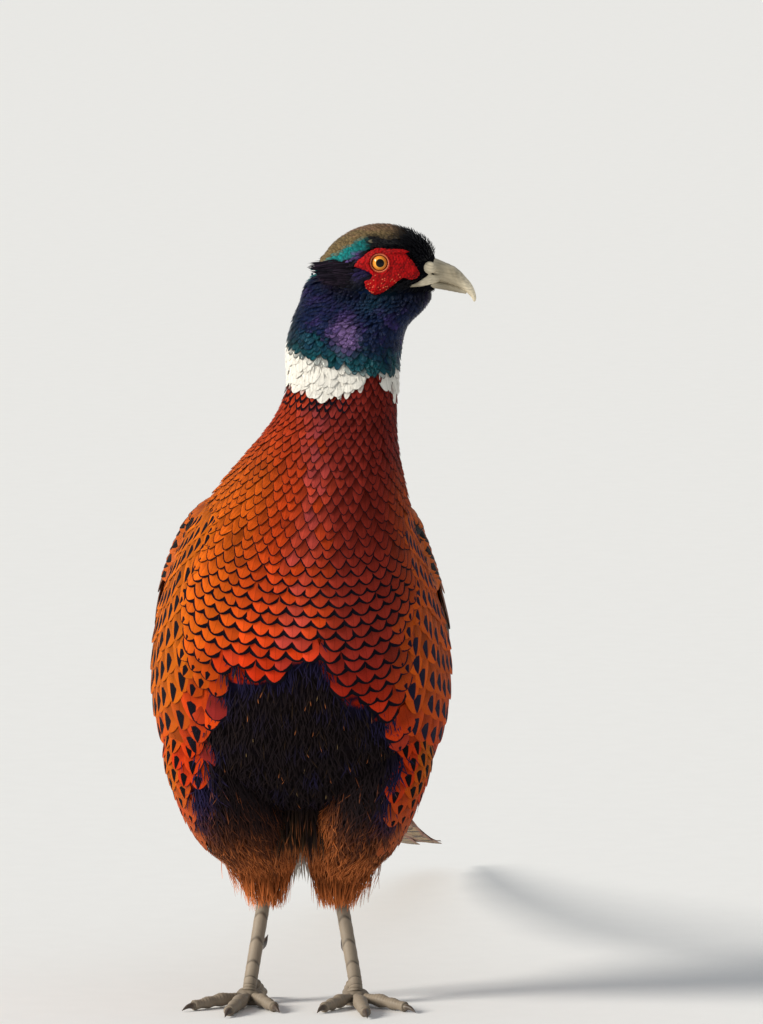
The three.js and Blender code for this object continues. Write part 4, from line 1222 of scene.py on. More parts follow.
def neck_sizes(over):
    return {"length": 9.0, "width": 5.0, "high": 0.9 + 0.3 * rng.random(len(over)), "hump": 0.4}


def throat_sizes(over):
    small = ramp(15, 42, over)
    return {"length": 7.0 - 2.6 * small, "width": 4.0 - 1.5 * small, "high": 0.9, "hump": 0.3}


def ring_tints(roots):
    return varied(WHITE, 0.92, 1.0, roots.count)


def neck_tints(roots):
    return plumage(roots.at - UPWARD * 3, roots.angle)[0]


def throat_tints(roots):
    return blend(neck_tints(roots), head_plumage(roots.at), ramp(372, 394, roots.at[:, 2]))


def on_ring(over, up):
    return (over < 3) & (up > 8) & (over - up < -4)


def on_neck(over, _):
    return (over > 2) & (over < 22)


def on_throat(over, _):
    return over > 15


RIM = 0.06
loose_coat("collar_feathers", 2.5, 0.5, on_ring, ring_sizes, ring_tints, 0.0, white_paint)
loose_coat("neck_feathers", 1.9, 0.4, on_neck, neck_sizes, neck_tints, RIM, neck_paint)
loose_coat("throat_feathers", 1.35, 0.32, on_throat, throat_sizes, throat_tints, RIM, neck_paint)


def strands(name, roots, length, width, tint, tip, high=1.0, spread=0.3, paint=loose_paint):
    """Loose hair-like feathers at these roots."""
    sizes = {
        "length": length * rng.uniform(0.75, 1.25, roots.count),
        "width": width * rng.uniform(0.7, 1.3, roots.count),
        "low": -0.8,
        "high": high * rng.uniform(0.3, 1.3, roots.count),
        "hump": 0.12 * width,
        "turn": rng.normal(0, spread, roots.count),
    }
    coat(name, roots, STRAND, sizes, {"tint": tint, "deep": tip}, paint)


# The belly's loose black feathers, with violet edges, brown flecks and a few pale ones

down = body_ground.scattered(1.1, 0.35, 1.0)
down = down[(belly_share(down.at) > 0.25) & (down.at[:, 1] < 84)].clear_of_skin()
edge = ramp(0.97, 0.5, belly_share(down.at, 14) + 0.25 * smooth_noise(down.at, 14, 35))
fleck = rng.random((down.count, 1))
down_tint = np.where(fleck < 0.07, UMBER * 0.4, blend(SOOT, VIOLET, edge * 0.85))
down_tip = np.where(fleck < 0.012, RUST, down_tint * 1.2)
down_tip = np.where(fleck > 0.994, BUFF * 0.6, down_tip)
strands("belly_down", down, 9, 0.68, down_tint, down_tip)

# Small white feathers that fluff the ring's edges

fluff = body_ground.scattered(1.3, 0.0, 0.5)
top, foot = collar_levels(fluff.at)
fluff = fluff[(fluff.at[:, 2] < top + 2) & (fluff.at[:, 2] > foot + 5) & (top - foot > 4)]
white = varied(WHITE, 0.85, 1.0, fluff.count)
strands("collar_down", fluff, 7.0, 0.9, white, white, 1.2, 0.14, white_down_paint)

# The thighs

THIGH_GAP = 6.0  # between rows
SCALES = {"around": 21, "step": 1.35}
HEM = 620  # strands round each


def thigh_wave(points):
    return 6 * smooth_noise(points, 26, 31)


def thigh_hair(side, ground):
    """Shaggy strands, black in front and rusty towards the hock."""
    hair = ground.scattered(1.2)
    shaggy = (belly_share(hair.at) > 0.16) | (hair.at[:, 2] < 86 + thigh_wave(hair.at))
    hair = hair[shaggy].clear_of_skin()
    x, _, z = hair.at.T
    level = z + thigh_wave(hair.at) + rng.normal(0, 6, hair.count)
    low = ramp(92, 70, level) + 0.22 * ramp(118, 86, level)
    inner = ramp(20, 5, np.abs(x - 4)) * ramp(120, 98, level)
    brown = np.clip(low + inner + 0.3 * (rng.random(hair.count) < 0.05), 0, 1)
    dark = blend(SOOT, VIOLET, ramp(0.95, 0.5, belly_share(hair.at, 14)) * ramp(90, 110, z))
    tint = blend(dark, varied(CHESTNUT, 0.6, 1.5, hair.count), brown)
    tip = blend(dark * 1.2, RUST * 1.5, brown)
    strands(f"thigh_feathers_{side}", hair, 12, 0.7, tint, tip, spread=0.35)


def thigh_scales(side, stations):
    """The marked feathers of the flank, which run on over the outer side."""
    above = 2 * np.array(stations[0]) - stations[1]
    ground = Ground(Loft([above, *stations]), 0.0, len(stations), THIGH_GAP)
    around = SCALES["around"]
    rows = np.arange(0.1, ground.rows - 2.5, SCALES["step"])
    turns = np.arange(around) + 0.5 * (np.arange(len(rows)) % 2)[:, None]
    roots = Roots(ground, np.repeat(rows, around), turns.ravel() * TURN / around)
    at = roots.below(2.2)
    chosen = (belly_share(at) < 0.25) & (at[:, 2] > 80) & exposed(at, 0.4)
    roots, at = roots[chosen], at[chosen]
    lower, behind = ramp(125, 88, at[:, 2]), ramp(8, 34, at[:, 1])
    inward = ramp(0.0, 0.2, belly_share(at, 20))
    copper = 0.3 + lower * 0.4 + 0.6 * inward + 0.2 * smooth_noise(at, 20, 33)
    tint = blend(GOLD, COPPER, np.clip(copper, 0, 1))
    tint = blend(tint, SCARLET, 0.6 * inward * (1 - lower))
    tint = blend(tint, RUST * 0.8, 0.7 * lower)
    tint = blend(tint, UMBER, behind * 0.85)
    wedge = (0.4 - 0.28 * lower) * (1 - behind)
    pitch = roots.stretch()[:, 1] * TURN / around
    sizes = {
        "length": 19,
        "width": 1.35 * pitch,
        "low": -1.0,
        "high": 0.5,
        "hump": 0.35,
        "corner": 0.36,
        "turn": rng.normal(0, 0.1, roots.count),
    }
    colours = {"tint": tint, "deep": BLACK, "marks": wedge[:, None] * (0, 0, 1)}
    coat(f"thigh_scales_{side}", roots, WIDE, sizes, colours, breast_paint)


def thigh_hem(side, loft, ground):
    """Rusty strands that close in round the hock."""
    turns = rng.uniform(0, TURN, HEM)
    station = rng.uniform(4.6, 5.95, HEM)
    root = loft.point(station, turns, -0.8)
    middle = np.array(HOCK[side]) + (0, 0, -4)
    inwards = (middle - root) * (0.45, 0.45, 0) * rng.uniform(0.2, 1.2, (HEM, 1))
    tip = root + inwards - UPWARD * rng.uniform(9, 19, (HEM, 1))
    tip[:, 2] = np.maximum(tip[:, 2], 50)
    away = unit((root - middle) * (1, 1, 0))
    bend = (root + tip) / 2 + away * rng.uniform(0, 2.2, (HEM, 1))
    tip = tip + rng.normal(0, 1.2, (HEM, 3))
    hem = Strands(root, bend, tip, away, ground.unwrap(station / 6 * ground.rows, turns))
    colours = {"tint": varied(CHESTNUT, 0.6, 1.7, HEM), "deep": varied(RUST * 1.3, 0.6, 1.7, HEM)}
    sizes = {"length": hem.length, "width": rng.uniform(0.5, 1.0, HEM), "hump": 0.1}
    coat(f"thigh_hem_{side}", hem, STRAND, sizes, colours, loose_paint)


for side, stations in THIGHS.items():
    thigh_loft = Loft(stations)
    thigh_ground = Ground(thigh_loft, 0.0, 6.0, THIGH_GAP)
    thigh_hair(side, thigh_ground)
    thigh_scales(side, stations)
    thigh_hem(side, thigh_loft, thigh_ground)

# Black hair that hangs from the belly between the thighs, and white down behind it


def hanging(count, *spans):
    """Roots in a box, and tips that hang under them: three spans of the box, sway, drift and drop."""
    *box, sway, drift, drop = spans
    root = np.stack([rng.uniform(*span, count) for span in box], -1)
    hang = [rng.normal(0, sway, count), rng.uniform(*drift, count), -rng.uniform(*drop, count)]
    return root, root + np.stack(hang, -1)


def hung(name, root, bend, tip, map_from, width, hump, tint, deep):
    """Strands that hang and face forwards."""
    on_map = np.stack([0.5 + root[:, 0] / 200, map_from + root[:, 1] / 400], -1)
    hair = Strands(root, bend, tip, np.tile([0.0, -1.0, 0.2], (len(root), 1)), on_map)
    sizes = {"length": hair.length, "width": width, "hump": hump}
    coat(name, hair, STRAND, sizes, {"tint": tint, "deep": deep}, loose_paint)


FRINGE_COUNT, DOWN_COUNT = 1500, 260
root, tip = hanging(FRINGE_COUNT, (-22, 20), (2, 34), (96, 116), 2.5, (-2, 5), (12, 24))
bend = (root + tip) / 2 - np.array([0, 1, 0]) * rng.uniform(0, 3, (FRINGE_COUNT, 1))
brown = np.clip(ramp(104, 80, tip[:, 2]) * rng.uniform(0, 1.6, FRINGE_COUNT), 0, 1)
tint, deep = blend(SOOT, UMBER * 0.6, brown), blend(SOOT, RUST, brown)
hung("belly_fringe", root, bend, tip, 0.55, 1.0, 0.12, tint, deep)
root, tip = hanging(DOWN_COUNT, (-17, 15), (36, 60), (84, 98), 3, (-2, 8), (14, 26))
bend = (root + tip) / 2 + rng.normal(0, 1.5, (DOWN_COUNT, 3))
pale = varied(WHITE, 0.45, 1.0, DOWN_COUNT)
hung("vent_down", root, bend, tip, 0.7, 1.5, 0.15, pale, pale)

# The head's small feathers, smallest round the face patch and the bill


def from_eye(points):
    """How far forward and up places lie from the middle of the eye."""
    f, _, u = np.moveaxis(to_head(points), -1, 0)
    return f - EYE_SHIFT[0], u - EYE_SHIFT[1]


def in_wattle(points, margin):
    """Whether places of the head lie inside the face patch, grown by a margin."""
    f, u = from_eye(points)
    outline = smooth_curve(np.array([*WATTLE, WATTLE[0]], float), np.linspace(0, len(WATTLE), 120))
    middle = np.array([4.0, -4.0])
    away = outline - middle
    outline = middle + away * (1 + margin / np.linalg.norm(away, axis=1, keepdims=True))
    a, b = outline, np.roll(outline, -1, 0)
    above = (a[:, 1] > u[..., None]) != (b[:, 1] > u[..., None])
    rise = np.where(np.abs(b[:, 1] - a[:, 1]) < 1e-9, 1e-9, b[:, 1] - a[:, 1])
    crossing = a[:, 0] + (u[..., None] - a[:, 1]) * (b[:, 0] - a[:, 0]) / rise
    crossed = np.sum(above & (f[..., None] < crossing), -1)
    return (crossed % 2 == 1) & (np.abs(to_head(points)[..., 1]) > 4)


# The bill's horn on the face: the edge's levels, and how far forward it is at each.
HORN_LEVELS = (-16, -14.4, -12, -9.6, -7.4, -2, 0.9, 3.5)
HORN_EDGE = (26, 16.6, 20.7, 24.5, 27.2, 27.5, 27.5, 31)
NOSTRIL = (26.4, -4.3)


def under_bill(f, u):
    """The zone that the bill's horn covers, from the nostril's swelling back to the corner of the mouth."""
    nostril = ((f - NOSTRIL[0]) / 4.5) ** 2 + ((u - NOSTRIL[1]) / 3.6) ** 2 < 1
    past_edge = f > np.interp(u, HORN_LEVELS, HORN_EDGE)
    return (past_edge & (u > HORN_LEVELS[0]) & (u < HORN_LEVELS[-1])) | nostril


head_ground = Ground(head_loft, 0.5, 9.6, 1.5)
head = head_ground.scattered(1.25)
f, _, u = to_head(head.at).T
in_eye = np.hypot(*from_eye(head.at)) < 5.6
head = head[~(in_wattle(head.at, -0.3) | in_eye | under_bill(f, u))].clear_of_skin()
f, _, u = to_head(head.at).T
by_face = np.where(in_wattle(head.at, 3.0), 0.6, 1.0) * (1 - 0.45 * ramp(8, 22, f))
cheek = ramp(4, -10, u) * ramp(18, 4, f)
head_sizes = {
    "length": 4.6 * by_face * rng.uniform(0.8, 1.2, head.count),
    "width": 2.3 * by_face * rng.uniform(0.85, 1.15, head.count),
    "low": -0.7,
    "high": 0.35 + 0.9 * rng.random(head.count) * ramp(8, 18, f) * ramp(-2, 4, u),
    "hump": 0.22,
    "corner": 0.45,
    "turn": 0.5 * cheek * np.sign(np.sin(head.angle)) + rng.normal(0, 0.12, head.count),
}
head_tint = head_plumage(head.at)
head_colours = {"tint": head_tint, "deep": head_tint * 0.45, "marks": (0.1, 0.0, 0.0)}
coat("head_feathers", head, {**SCALE, "mesh": (4, 4)}, head_sizes, head_colours, head_paint)

# Ear tufts: narrow dark feathers that stand back past the nape

TUFT = 340  # feathers in each
tufts = []
for sign in SIDES.values():
    k = rng.uniform(0, 1, TUFT)
    station = 10 - rng.uniform(1.5, 3.5, TUFT)
    turn = -sign * np.radians(88 + 27 * k + rng.normal(0, 5, TUFT))
    root = head_loft.point(station, turn, -0.4)
    reach = rng.uniform(0.35, 1.0, (TUFT, 1))
    tip = np.stack([-38 + 9 * k, sign * (12.8 - 1 * k), -2.8 - 11 * k], -1) + rng.normal(0, 0.9, (TUFT, 3))
    tip = root + (from_head(tip) - root) * reach
    bend = (root + tip) / 2 + LEFTWARD * sign * rng.uniform(0.6, 2.4, (TUFT, 1)) + UPWARD * 0.8
    facing = np.broadcast_to(LEFTWARD * sign + UPWARD * 0.25, (TUFT, 3))
    tufts.append((root, bend, tip, facing, head_ground.unwrap(station * 0.1 * head_ground.rows, turn)))
ears = Strands(*(np.concatenate(each) for each in zip(*tufts)))
ear_sizes = {"length": ears.length, "width": rng.uniform(0.5, 1.2, ears.count), "hump": 0.12}
ear_tint = blend(INK * 1.3, blend(UMBER, PURPLE, 0.3) * 0.3, rng.uniform(0, 0.8, ears.count))
ear_colours = {"tint": ear_tint, "deep": ear_tint * 1.5}
coat("ear_tufts", ears, {**STRAND, "mesh": (8, 2)}, ear_sizes, ear_colours, loose_paint)


# Face patches: red skin crowded with small papillae, and a double ring of lids round each eye

PAPILLA = {"gap": 0.95, "radius": 0.62, "high": 0.32, "sunk": 0.12}
# The lids' rings: radius, thickness, how far out, folds round, seed and how red.
LIDS = ((4.75, 0.42, 16.9, 26, 1, 0.1), (5.45, 0.36, 16.75, 34, 2, 0.75))


def nearest(points, centres):
    """Each place's distance to the nearest centre, and which one it is."""
    tree = KDTree(len(centres))
    for n, centre in enumerate(centres):
        tree.insert(centre, n)
    tree.balance()
    found = [tree.find(point) for point in points]
    return np.array([distance for _, _, distance in found]), np.array([n for _, n, _ in found])


def lid(side, radius, thick, out, teeth, seed):
    """A lid round an eye: a ring with small folds across it."""
    turn, around = np.meshgrid(round_angles(96), round_angles(16), indexing="ij")
    phase = np.random.default_rng(seed).uniform(0, 6, 3)
    fold = 1 + 0.16 * np.sin(teeth * turn + phase[0]) + 0.08 * np.sin(2.3 * teeth * turn + phase[1])
    r = radius + thick * fold * np.cos(around)
    deep = thick * fold * np.sin(around) * 1.1
    f, u = r * np.cos(turn) * 1.02 + EYE_SHIFT[0], r * np.sin(turn) * 0.98 + EYE_SHIFT[1]
    points = from_head(np.stack([f, side * (out - 0.035 * (r - 4) ** 2 + deep), u], -1))
    index = np.arange(turn.size).reshape(turn.shape)
    quads = [index, np.roll(index, -1, 1), np.roll(np.roll(index, -1, 1), -1, 0), np.roll(index, -1, 0)]
    faces = np.stack(quads[:: 1 if side > 0 else -1], -1).reshape(-1, 4)
    return points.reshape(-1, 3), [faces]


wattle_paint = skin_paint("wattle", 700, 0.35, 0.00012, roughness=0.6, specular_ior_level=0.12)
lid_paint = skin_paint("lid", 900, 0.3, 0.0001, roughness=0.42)
for side, sign in SIDES.items():
    face = fused(f"wattle_{side}", [solid_points(f"wattle_{side}")], voxel=0.42, rounds=10)
    points, out = corners_of(face)
    points = points + FORWARD * EYE_SHIFT[0] + UPWARD * EYE_SHIFT[1]
    order = rng.permutation(len(points))
    centres = points[order][spaced(points[order], PAPILLA["gap"])]
    distance, which = nearest(points, centres)
    grown = rng.uniform(0.55, 1.2, len(centres))[which]
    bump = grown * np.sqrt(np.maximum(1 - (distance / PAPILLA["radius"]) ** 2, 0))
    points = points + out * (PAPILLA["high"] * bump - PAPILLA["sunk"])[:, None]
    f, left, u = to_head(points).T
    # Round the eye the patch stays behind the lids
    too_far = np.maximum(sign * left - 15.6, 0) * ramp(5.5, 4.9, np.hypot(*from_eye(points)))
    reshape(face, points - LEFTWARD * (sign * too_far)[:, None])
    # painted shade: the red skin is darker between the papillae and brighter on their tops
    red = blend(RED * 0.45, RED * 1.15, np.clip(bump, 0, 1))
    red = blend(red, RED * 1.35, 0.5 * ramp(0, 1, smooth_noise(points, 7, 41)))
    dotted = (rng.random(len(centres)) < 0.13)[which] & (distance < 0.3)
    red = np.where(dotted[:, None], INK, red)
    pale = (rng.random(len(centres)) < 0.2)[which] & (distance < 0.32) & (u < -7) & (f > -6)
    red = np.where(pale[:, None], ORANGE * 1.2, red)
    stain(face, "tint", np.clip(red, 0, 1))
    dressed(face, wattle_paint)
    rings = [lid(sign, *sizes) for *sizes, _ in LIDS]
    reds = [np.tile(blend(ORANGE, RED, each[-1]), (len(ring[0]), 1)) for ring, each in zip(rings, LIDS)]
    lids = mesh_object(f"lids_{side}", *joined(rings))
    stain(lids, "tint", np.concatenate(reds))
    dressed(lids, lid_paint)
    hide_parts(f"wattle_{side}")


# Eyes: whole balls, with the iris and pupil as rings of colour under a clear, glossy front


def eye_paint():
    paint = Paint("eye", roughness=0.3, specular_ior_level=0.05, coat_weight=0.3, coat_roughness=0.02)
    x, y = ((part - 0.5) * 2.0 for part in paint.uv("disc"))
    r = (x * x + y * y).power(0.5)
    dx = x - 0.06
    pupil = (dx * dx + y * y).power(0.5)
    fibre = paint.noise(3.0, 4.0, paint.join(x / (r + 0.05) * 3.0, y / (r + 0.05) * 3.0, r * 0.8))
    iris = paint.mix(r.ramp(0.3, 0.7), tone("e8a13c"), tone("c0641e"))
    iris = paint.shaded(iris, 0.7 + fibre * 0.6)
    colour = paint.mix(r.ramp(0.61, 0.65), iris, tone("2a1812"))
    colour = paint.mix(pupil.ramp(0.35, 0.375), (0.001, 0.001, 0.001), colour)
    return paint.finish(colour, height=fibre, depth=0.00005)


def polar_grid(steps, sides):
    """Angles from the pole of a ball and round it."""
    return np.meshgrid(np.linspace(0, math.pi, steps), round_angles(sides), indexing="ij")


glass = eye_paint()
for side, sign in SIDES.items():
    polar, turn = polar_grid(49, 64)
    radius = EYEBALL + 0.3 * np.maximum(1 - (polar / 0.62) ** 2, 0) ** 1.5
    f, u = radius * np.sin(polar) * np.cos(turn), radius * np.sin(polar) * np.sin(turn)
    out = sign * (EYE_OUT + radius * np.cos(polar))
    rings = from_head(np.stack([f + EYE_SHIFT[0], out, u + EYE_SHIFT[1]], -1))
    rings, disc = sided(-sign, rings, np.stack([f / EYEBALL, u / EYEBALL], -1) / 2 + 0.5)
    eye = mesh_object(f"eye_{side}_glass", *tube(rings), {"disc": disc.reshape(-1, 2)})
    dressed(eye, glass)
    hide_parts(f"eye_{side}")


# The bill: lofted horn, swollen over the nostrils, with a slit under each swelling

BILL_HALF = 5.6  # half the bill's width at its root
SLIT = (29.4, -7.6)
# The corner of the mouth in profile: its upper and lower edge, from the back to the front.
MOUTH_UPPER = [(16.2, -13.7), (20.4, -11.9), (24.2, -9.5), (27.5, -7.2), (32, -4.6)]
MOUTH_LOWER = [(16.2, -14.3), (20.4, -14.3), (24.6, -13.7), (28.6, -12.7), (32, -11.6)]


def ball(at, radii):
    polar, turn = polar_grid(20, 32)
    shape = np.stack([np.sin(polar) * np.cos(turn), np.sin(polar) * np.sin(turn), np.cos(polar)], -1)
    return tube(from_head(np.array(at) + shape * np.array(radii)))


def reach_of_head(f, u, sign):
    """How far out the head's skin lies at a place in profile, or the bill's side where it is wider."""
    start = Vector(metres(from_head(np.array([f, sign * 30.0, u]))))
    hit, _, _, _ = skin_tree.ray_cast(start, Vector(LEFTWARD * -sign))
    skin_at = abs(to_head(millimetres(np.array(hit)))[1]) if hit else 0.0
    return max(skin_at, BILL_HALF) if skin_at < 30 else BILL_HALF


def mouth_corner(sign):
    """The horn from the bill's side back to the corner of the mouth: a wedge that lies on the face."""
    along, across = np.linspace(0, 1, 28), np.linspace(0, 1, 10)
    upper, lower = (smooth_curve(edge, along * (len(edge) - 1)) for edge in (MOUTH_UPPER, MOUTH_LOWER))
    profile = upper[:, None] * (1 - across[:, None]) + lower[:, None] * across[:, None]
    reach = np.array([[reach_of_head(f, u, sign) for f, u in line] for line in profile])
    for _ in range(3):
        reach[1:-1] = (reach[:-2] + 2 * reach[1:-1] + reach[2:]) / 4
    along = along[:, None]
    swell = 0.35 + 0.7 * np.sin(math.pi * across) * ramp(0, 0.3, along) - 0.5 * ramp(0.75, 1, along)
    f, u = profile[..., 0], profile[..., 1]
    outer, inner = (from_head(np.stack([f, sign * (reach + more), u], -1)) for more in (swell, -2.5))
    return shell(*sided(sign, outer, inner))


def bill_loft(stations):
    return Loft(stations, side=(0, -1.0, 0), place=from_head)


horn_paint = skin_paint("horn", 420, 0.3, 0.00008, roughness=0.4)
upper_parts = [bill_loft(BILL_UPPER).tube(40, 70)]
for sign in SIDES.values():
    swollen = (NOSTRIL[0], sign * (reach_of_head(*NOSTRIL, sign) - 0.9), NOSTRIL[1])
    upper_parts += [ball(swollen, (4.3, 2.7, 3.4)), mouth_corner(sign)]
upper = fused("bill_top", upper_parts, voxel=0.36, rounds=5)
lower = fused("bill_under", [bill_loft(BILL_LOWER).tube(32, 50)], voxel=0.36, rounds=3)
for bill, node, lift, shade in ((upper, "bill_upper", 0.0, 1.0), (lower, "bill_lower", 0.7, 0.85)):
    points, out = corners_of(bill)
    f, left, u = to_head(points).T
    away, level = f - SLIT[0], u - SLIT[1]
    slit = np.exp(-((away / 2.2) ** 2 + ((level + 0.12 * away) / 0.5) ** 4)) * (np.abs(left) > 2)
    ridges = 0.05 * np.sin((f + 0.4 * u) * 2.4) * ramp(30, 36, f)
    reshape(bill, points + UPWARD * lift + out * (ridges - 0.8 * slit)[:, None])
    horn = blend(HORN, HORN_DARK, 0.55 * ramp(2, -3, u + 0.42 * (f - 30)) * ramp(27, 33, f))
    horn = blend(horn, HORN * 1.25, ramp(40, 48, f))
    horn = blend(horn, HORN_DARK * 0.8, ramp(24, 20, f) * 0.6)
    # painted shade in the nostril slit
    horn = blend(horn, HORN_DARK * 0.5, 0.6 * slit)
    streaks = smooth_noise(np.stack([f * 0.2, left, u * 1.3 + 0.5 * f], -1), 1.6, 61)
    horn = blend(horn, HORN_DARK * 0.7, np.clip(0.22 * streaks + 0.1, 0, 0.5))
    stain(bill, "tint", np.clip(horn * shade, 0, 1))
    dressed(bill, horn_paint)
    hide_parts(node)

# Wings: tiers of coverts over the secondaries and the primaries

WING_GAP = 6.0  # between rows
BARS, NO_BARS = 0.11, 9.0  # the step of a feather's bars in decimetres
TIERS = (
    {"count": 6, "from": 11.2, "to": 15.6, "first": 40, "last": 68, "tint": UMBER * 1.3, "step": BARS},
    {"count": 9, "from": 10.2, "to": 14.0, "first": 28, "last": 70, "tint": UMBER * 1.7, "step": BARS},
    {"count": 9, "from": 9.6, "to": 12.2, "first": 28, "last": 70, "tint": CHESTNUT * 0.9, "step": NO_BARS},
    {"count": 10, "from": 9.1, "to": 11.2, "first": 27, "last": 72, "tint": RUST * 0.9, "step": NO_BARS},
)
TIER_SIZES = {"width": (20, 19, 17, 15), "high": (0.5, 0.9, 1.2, 1.4), "blunt": (3, 5, 5, 5)}
wing_ground = Ground(wing_loft, WING_STATIONS[0], 16.9, WING_GAP, even=True)


def quill_tier(sign, number):
    """One tier of a wing's long feathers, from the primaries to the middle coverts."""
    tier = TIERS[number]
    count = tier["count"]
    share = np.linspace(0, 1, count)
    turn = sign * np.radians(tier["first"] + (tier["last"] - tier["first"]) * share) * 0.93
    tip = tier["to"] - 0.2 * np.abs(share - 0.3) * (tier["to"] - tier["from"])
    start, end = (wing_ground.row_of(at, np.mod(turn, TURN)) for at in (np.full(count, tier["from"]), tip))
    same = {key: np.full(count, values[number]) for key, values in TIER_SIZES.items()}
    same["step"] = np.full(count, tier["step"])
    tint = varied(tier["tint"], 0.85, 1.15, count)
    return {"row": start, "angle": turn, "length": (end - start) * WING_GAP, "tint": tint, **same}


tiers = [quill_tier(sign, number) for sign in SIDES.values() for number in range(len(TIERS))]
quill = {key: np.concatenate([tier[key] for tier in tiers]) for key in tiers[0]}
quill_roots = Roots(wing_ground, quill["row"], quill["angle"])
quill_sizes = {"low": -1.4, "hump": 0.9, **{key: quill[key] for key in ("length", *TIER_SIZES)}}
quill_marks = np.stack([quill["length"] / 100, quill["step"], np.full(quill_roots.count, 0.35)], -1)
quill_colours = {"tint": quill["tint"], "deep": UMBER * 0.5, "marks": quill_marks}
quill_paint = barred_paint("wing_quills", roughness=0.6)
quill_kind = {**QUILL, "mesh": (20, 8)}
wings = coat("wing_quills", quill_roots, quill_kind, quill_sizes, quill_colours, quill_paint)
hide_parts("wing_left", "wing_right")

# Small coverts over the shoulder of the wing and down its front edge

COVERT_ROWS = np.arange(0.1, 8.6, 0.95)
covert_row, covert_angle = [], []
for n, row in enumerate(COVERT_ROWS):
    for sign in SIDES.values():
        turn = sign * np.radians(np.arange(18 + 3.2 * (n % 2), 88, 6.4)) * 0.95
        covert_row.append(np.full(len(turn), row))
        covert_angle.append(turn)
coverts = Roots(wing_ground, np.concatenate(covert_row), np.concatenate(covert_angle))
coverts = coverts[(np.abs(coverts.angle) <= math.radians(70)) | exposed(coverts.at, -0.5)]
golden = np.maximum(ramp(46, 62, np.degrees(np.abs(coverts.angle))), ramp(3.4, 1.2, coverts.row))
golden = np.clip(golden + 0.2 * smooth_noise(coverts.below(1.5), 12, 51), 0, 1)
covert_sizes = {
    "length": 16.5,
    "width": 12.5,
    "low": -1.2,
    "high": 1.0 + rng.uniform(-0.15, 0.15, coverts.count),
    "hump": 0.7,
    "corner": 0.42,
    "turn": -0.22 * golden * np.sign(coverts.angle) + rng.normal(0, 0.06, coverts.count),
}
covert_tint = blend(blend(COPPER, MAROON, 0.6), blend(GOLD, COPPER, 0.35), golden)
covert_tint = varied(covert_tint, 0.85, 1.15, coverts.count)
wedged = ramp(0.6, 2.4, coverts.row)
covert_marks = np.stack([0.05 * (1 - golden * wedged), 0.12 * (1 - wedged), 0.42 * wedged], -1)
covert_colours = {"tint": covert_tint, "deep": BLACK, "marks": covert_marks}
coat("wing_coverts", coverts, WIDE, covert_sizes, covert_colours, back_paint)

# Tail: long barred feathers in pairs, and the coverts over and under their roots

PAIR_LENGTHS = np.array([1, 0.93, 0.8, 0.66, 0.54, 0.45, 0.38, 0.33, 0.29])  # shares of the tail's length
PAIRS = len(PAIR_LENGTHS)
pair, sign = np.repeat(np.arange(PAIRS), 2), np.tile([1, -1], PAIRS)
layer = 2 * pair + (sign < 0)
tail_map = np.stack([0.5 + 0.05 * sign * (pair + 1), np.full(2 * PAIRS, 0.3)], -1)
start = np.full(2 * PAIRS, 4.0)
rectrices = Tail(sign * (1.5 + 1.2 * pair), sign * np.radians(0.5 * pair), 0.75 * layer - 2, start, tail_map)
tail_sizes = {
    "length": PAIR_LENGTHS[pair] * TAIL["length"],
    "width": 2.0 * (17.5 - pair),
    "blunt": np.where(pair < 3, 1.5, 2.2),
    "hump": 1.3,
    "high": -0.3,
}
tail_colours = {
    "tint": varied(blend(BUFF, UMBER, 0.35), 0.9, 1.1, 2 * PAIRS),
    "deep": UMBER * 0.3,
    "marks": tail_sizes["length"][:, None] / 100 * (1, 0, 0) + (0, 0.24, 0.9),
}
tail_paint = barred_paint("tail_feathers", roughness=0.5)
tail_kind = {**QUILL, "mesh": (90, 10)}
tail = coat("tail_feathers", rectrices, tail_kind, tail_sizes, tail_colours, tail_paint)
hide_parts("tail")
for name, number, spread, length, lower, step, start, colour in (
    ("tail_coverts_over", 11, 2.2, 95, -7.2, 0.7, 5.0, SAGE),
    ("tail_coverts_under", 9, 1.6, 72, 12.5, -0.7, 2.0, RUST * 0.6),
):
    off = np.linspace(-1, 1, number) * spread
    on_map = np.stack([0.5 + 0.1 * off, np.full(number, 0.4)], -1)
    depth = lower + step * np.abs(off) * 1.6
    coverts = Tail(6.5 * off, np.radians(1.5 * off), depth, np.full(number, start), on_map)
    sizes = {"length": length - 9 * np.abs(off), "width": 15, "blunt": 3.0, "hump": 1.2}
    colours = {"tint": varied(colour, 0.85, 1.15, number), "deep": colour * 0.5, "marks": (0.9, 0.4, 0.6)}
    coat(name, coverts, QUILL, sizes, colours, tail_paint)

# Legs: scaled shanks with spurs, and four toes with claws on each foot

SCUTES = 13
SCUTE_LENGTH = 2.6  # on the toes
leg_paint = skin_paint("leg_scales", 500, 0.35, 0.0001, roughness=0.55)
claw_paint = skin_paint("claw_horn", 500, 0.3, 0.00006, roughness=0.4)


def plates(s, turn, count):
    """Scutes down a limb's upper side: how high each place stands in its plate, and how near its edge."""
    front = ramp(0.1, 0.55, np.cos(turn))
    share = np.mod(s * count + 0.12 * np.cos(2 * turn), 1)
    plate = front * (1 - share) ** 0.6 * ramp(0, 0.12, share)
    grain = (1 - front) * 0.5 * (1 + np.sin(s * count * 2 * TURN + 6 * turn) * np.sin(9 * turn))
    return plate, grain, front * (ramp(0.14, 0.0, share) + ramp(0.9, 1.0, share))


def tinted(rings, colour, place):
    """A closed limb through rings, laid in place, and its tints."""
    return tube(place(rings) if place else rings), colour.reshape(-1, 3)


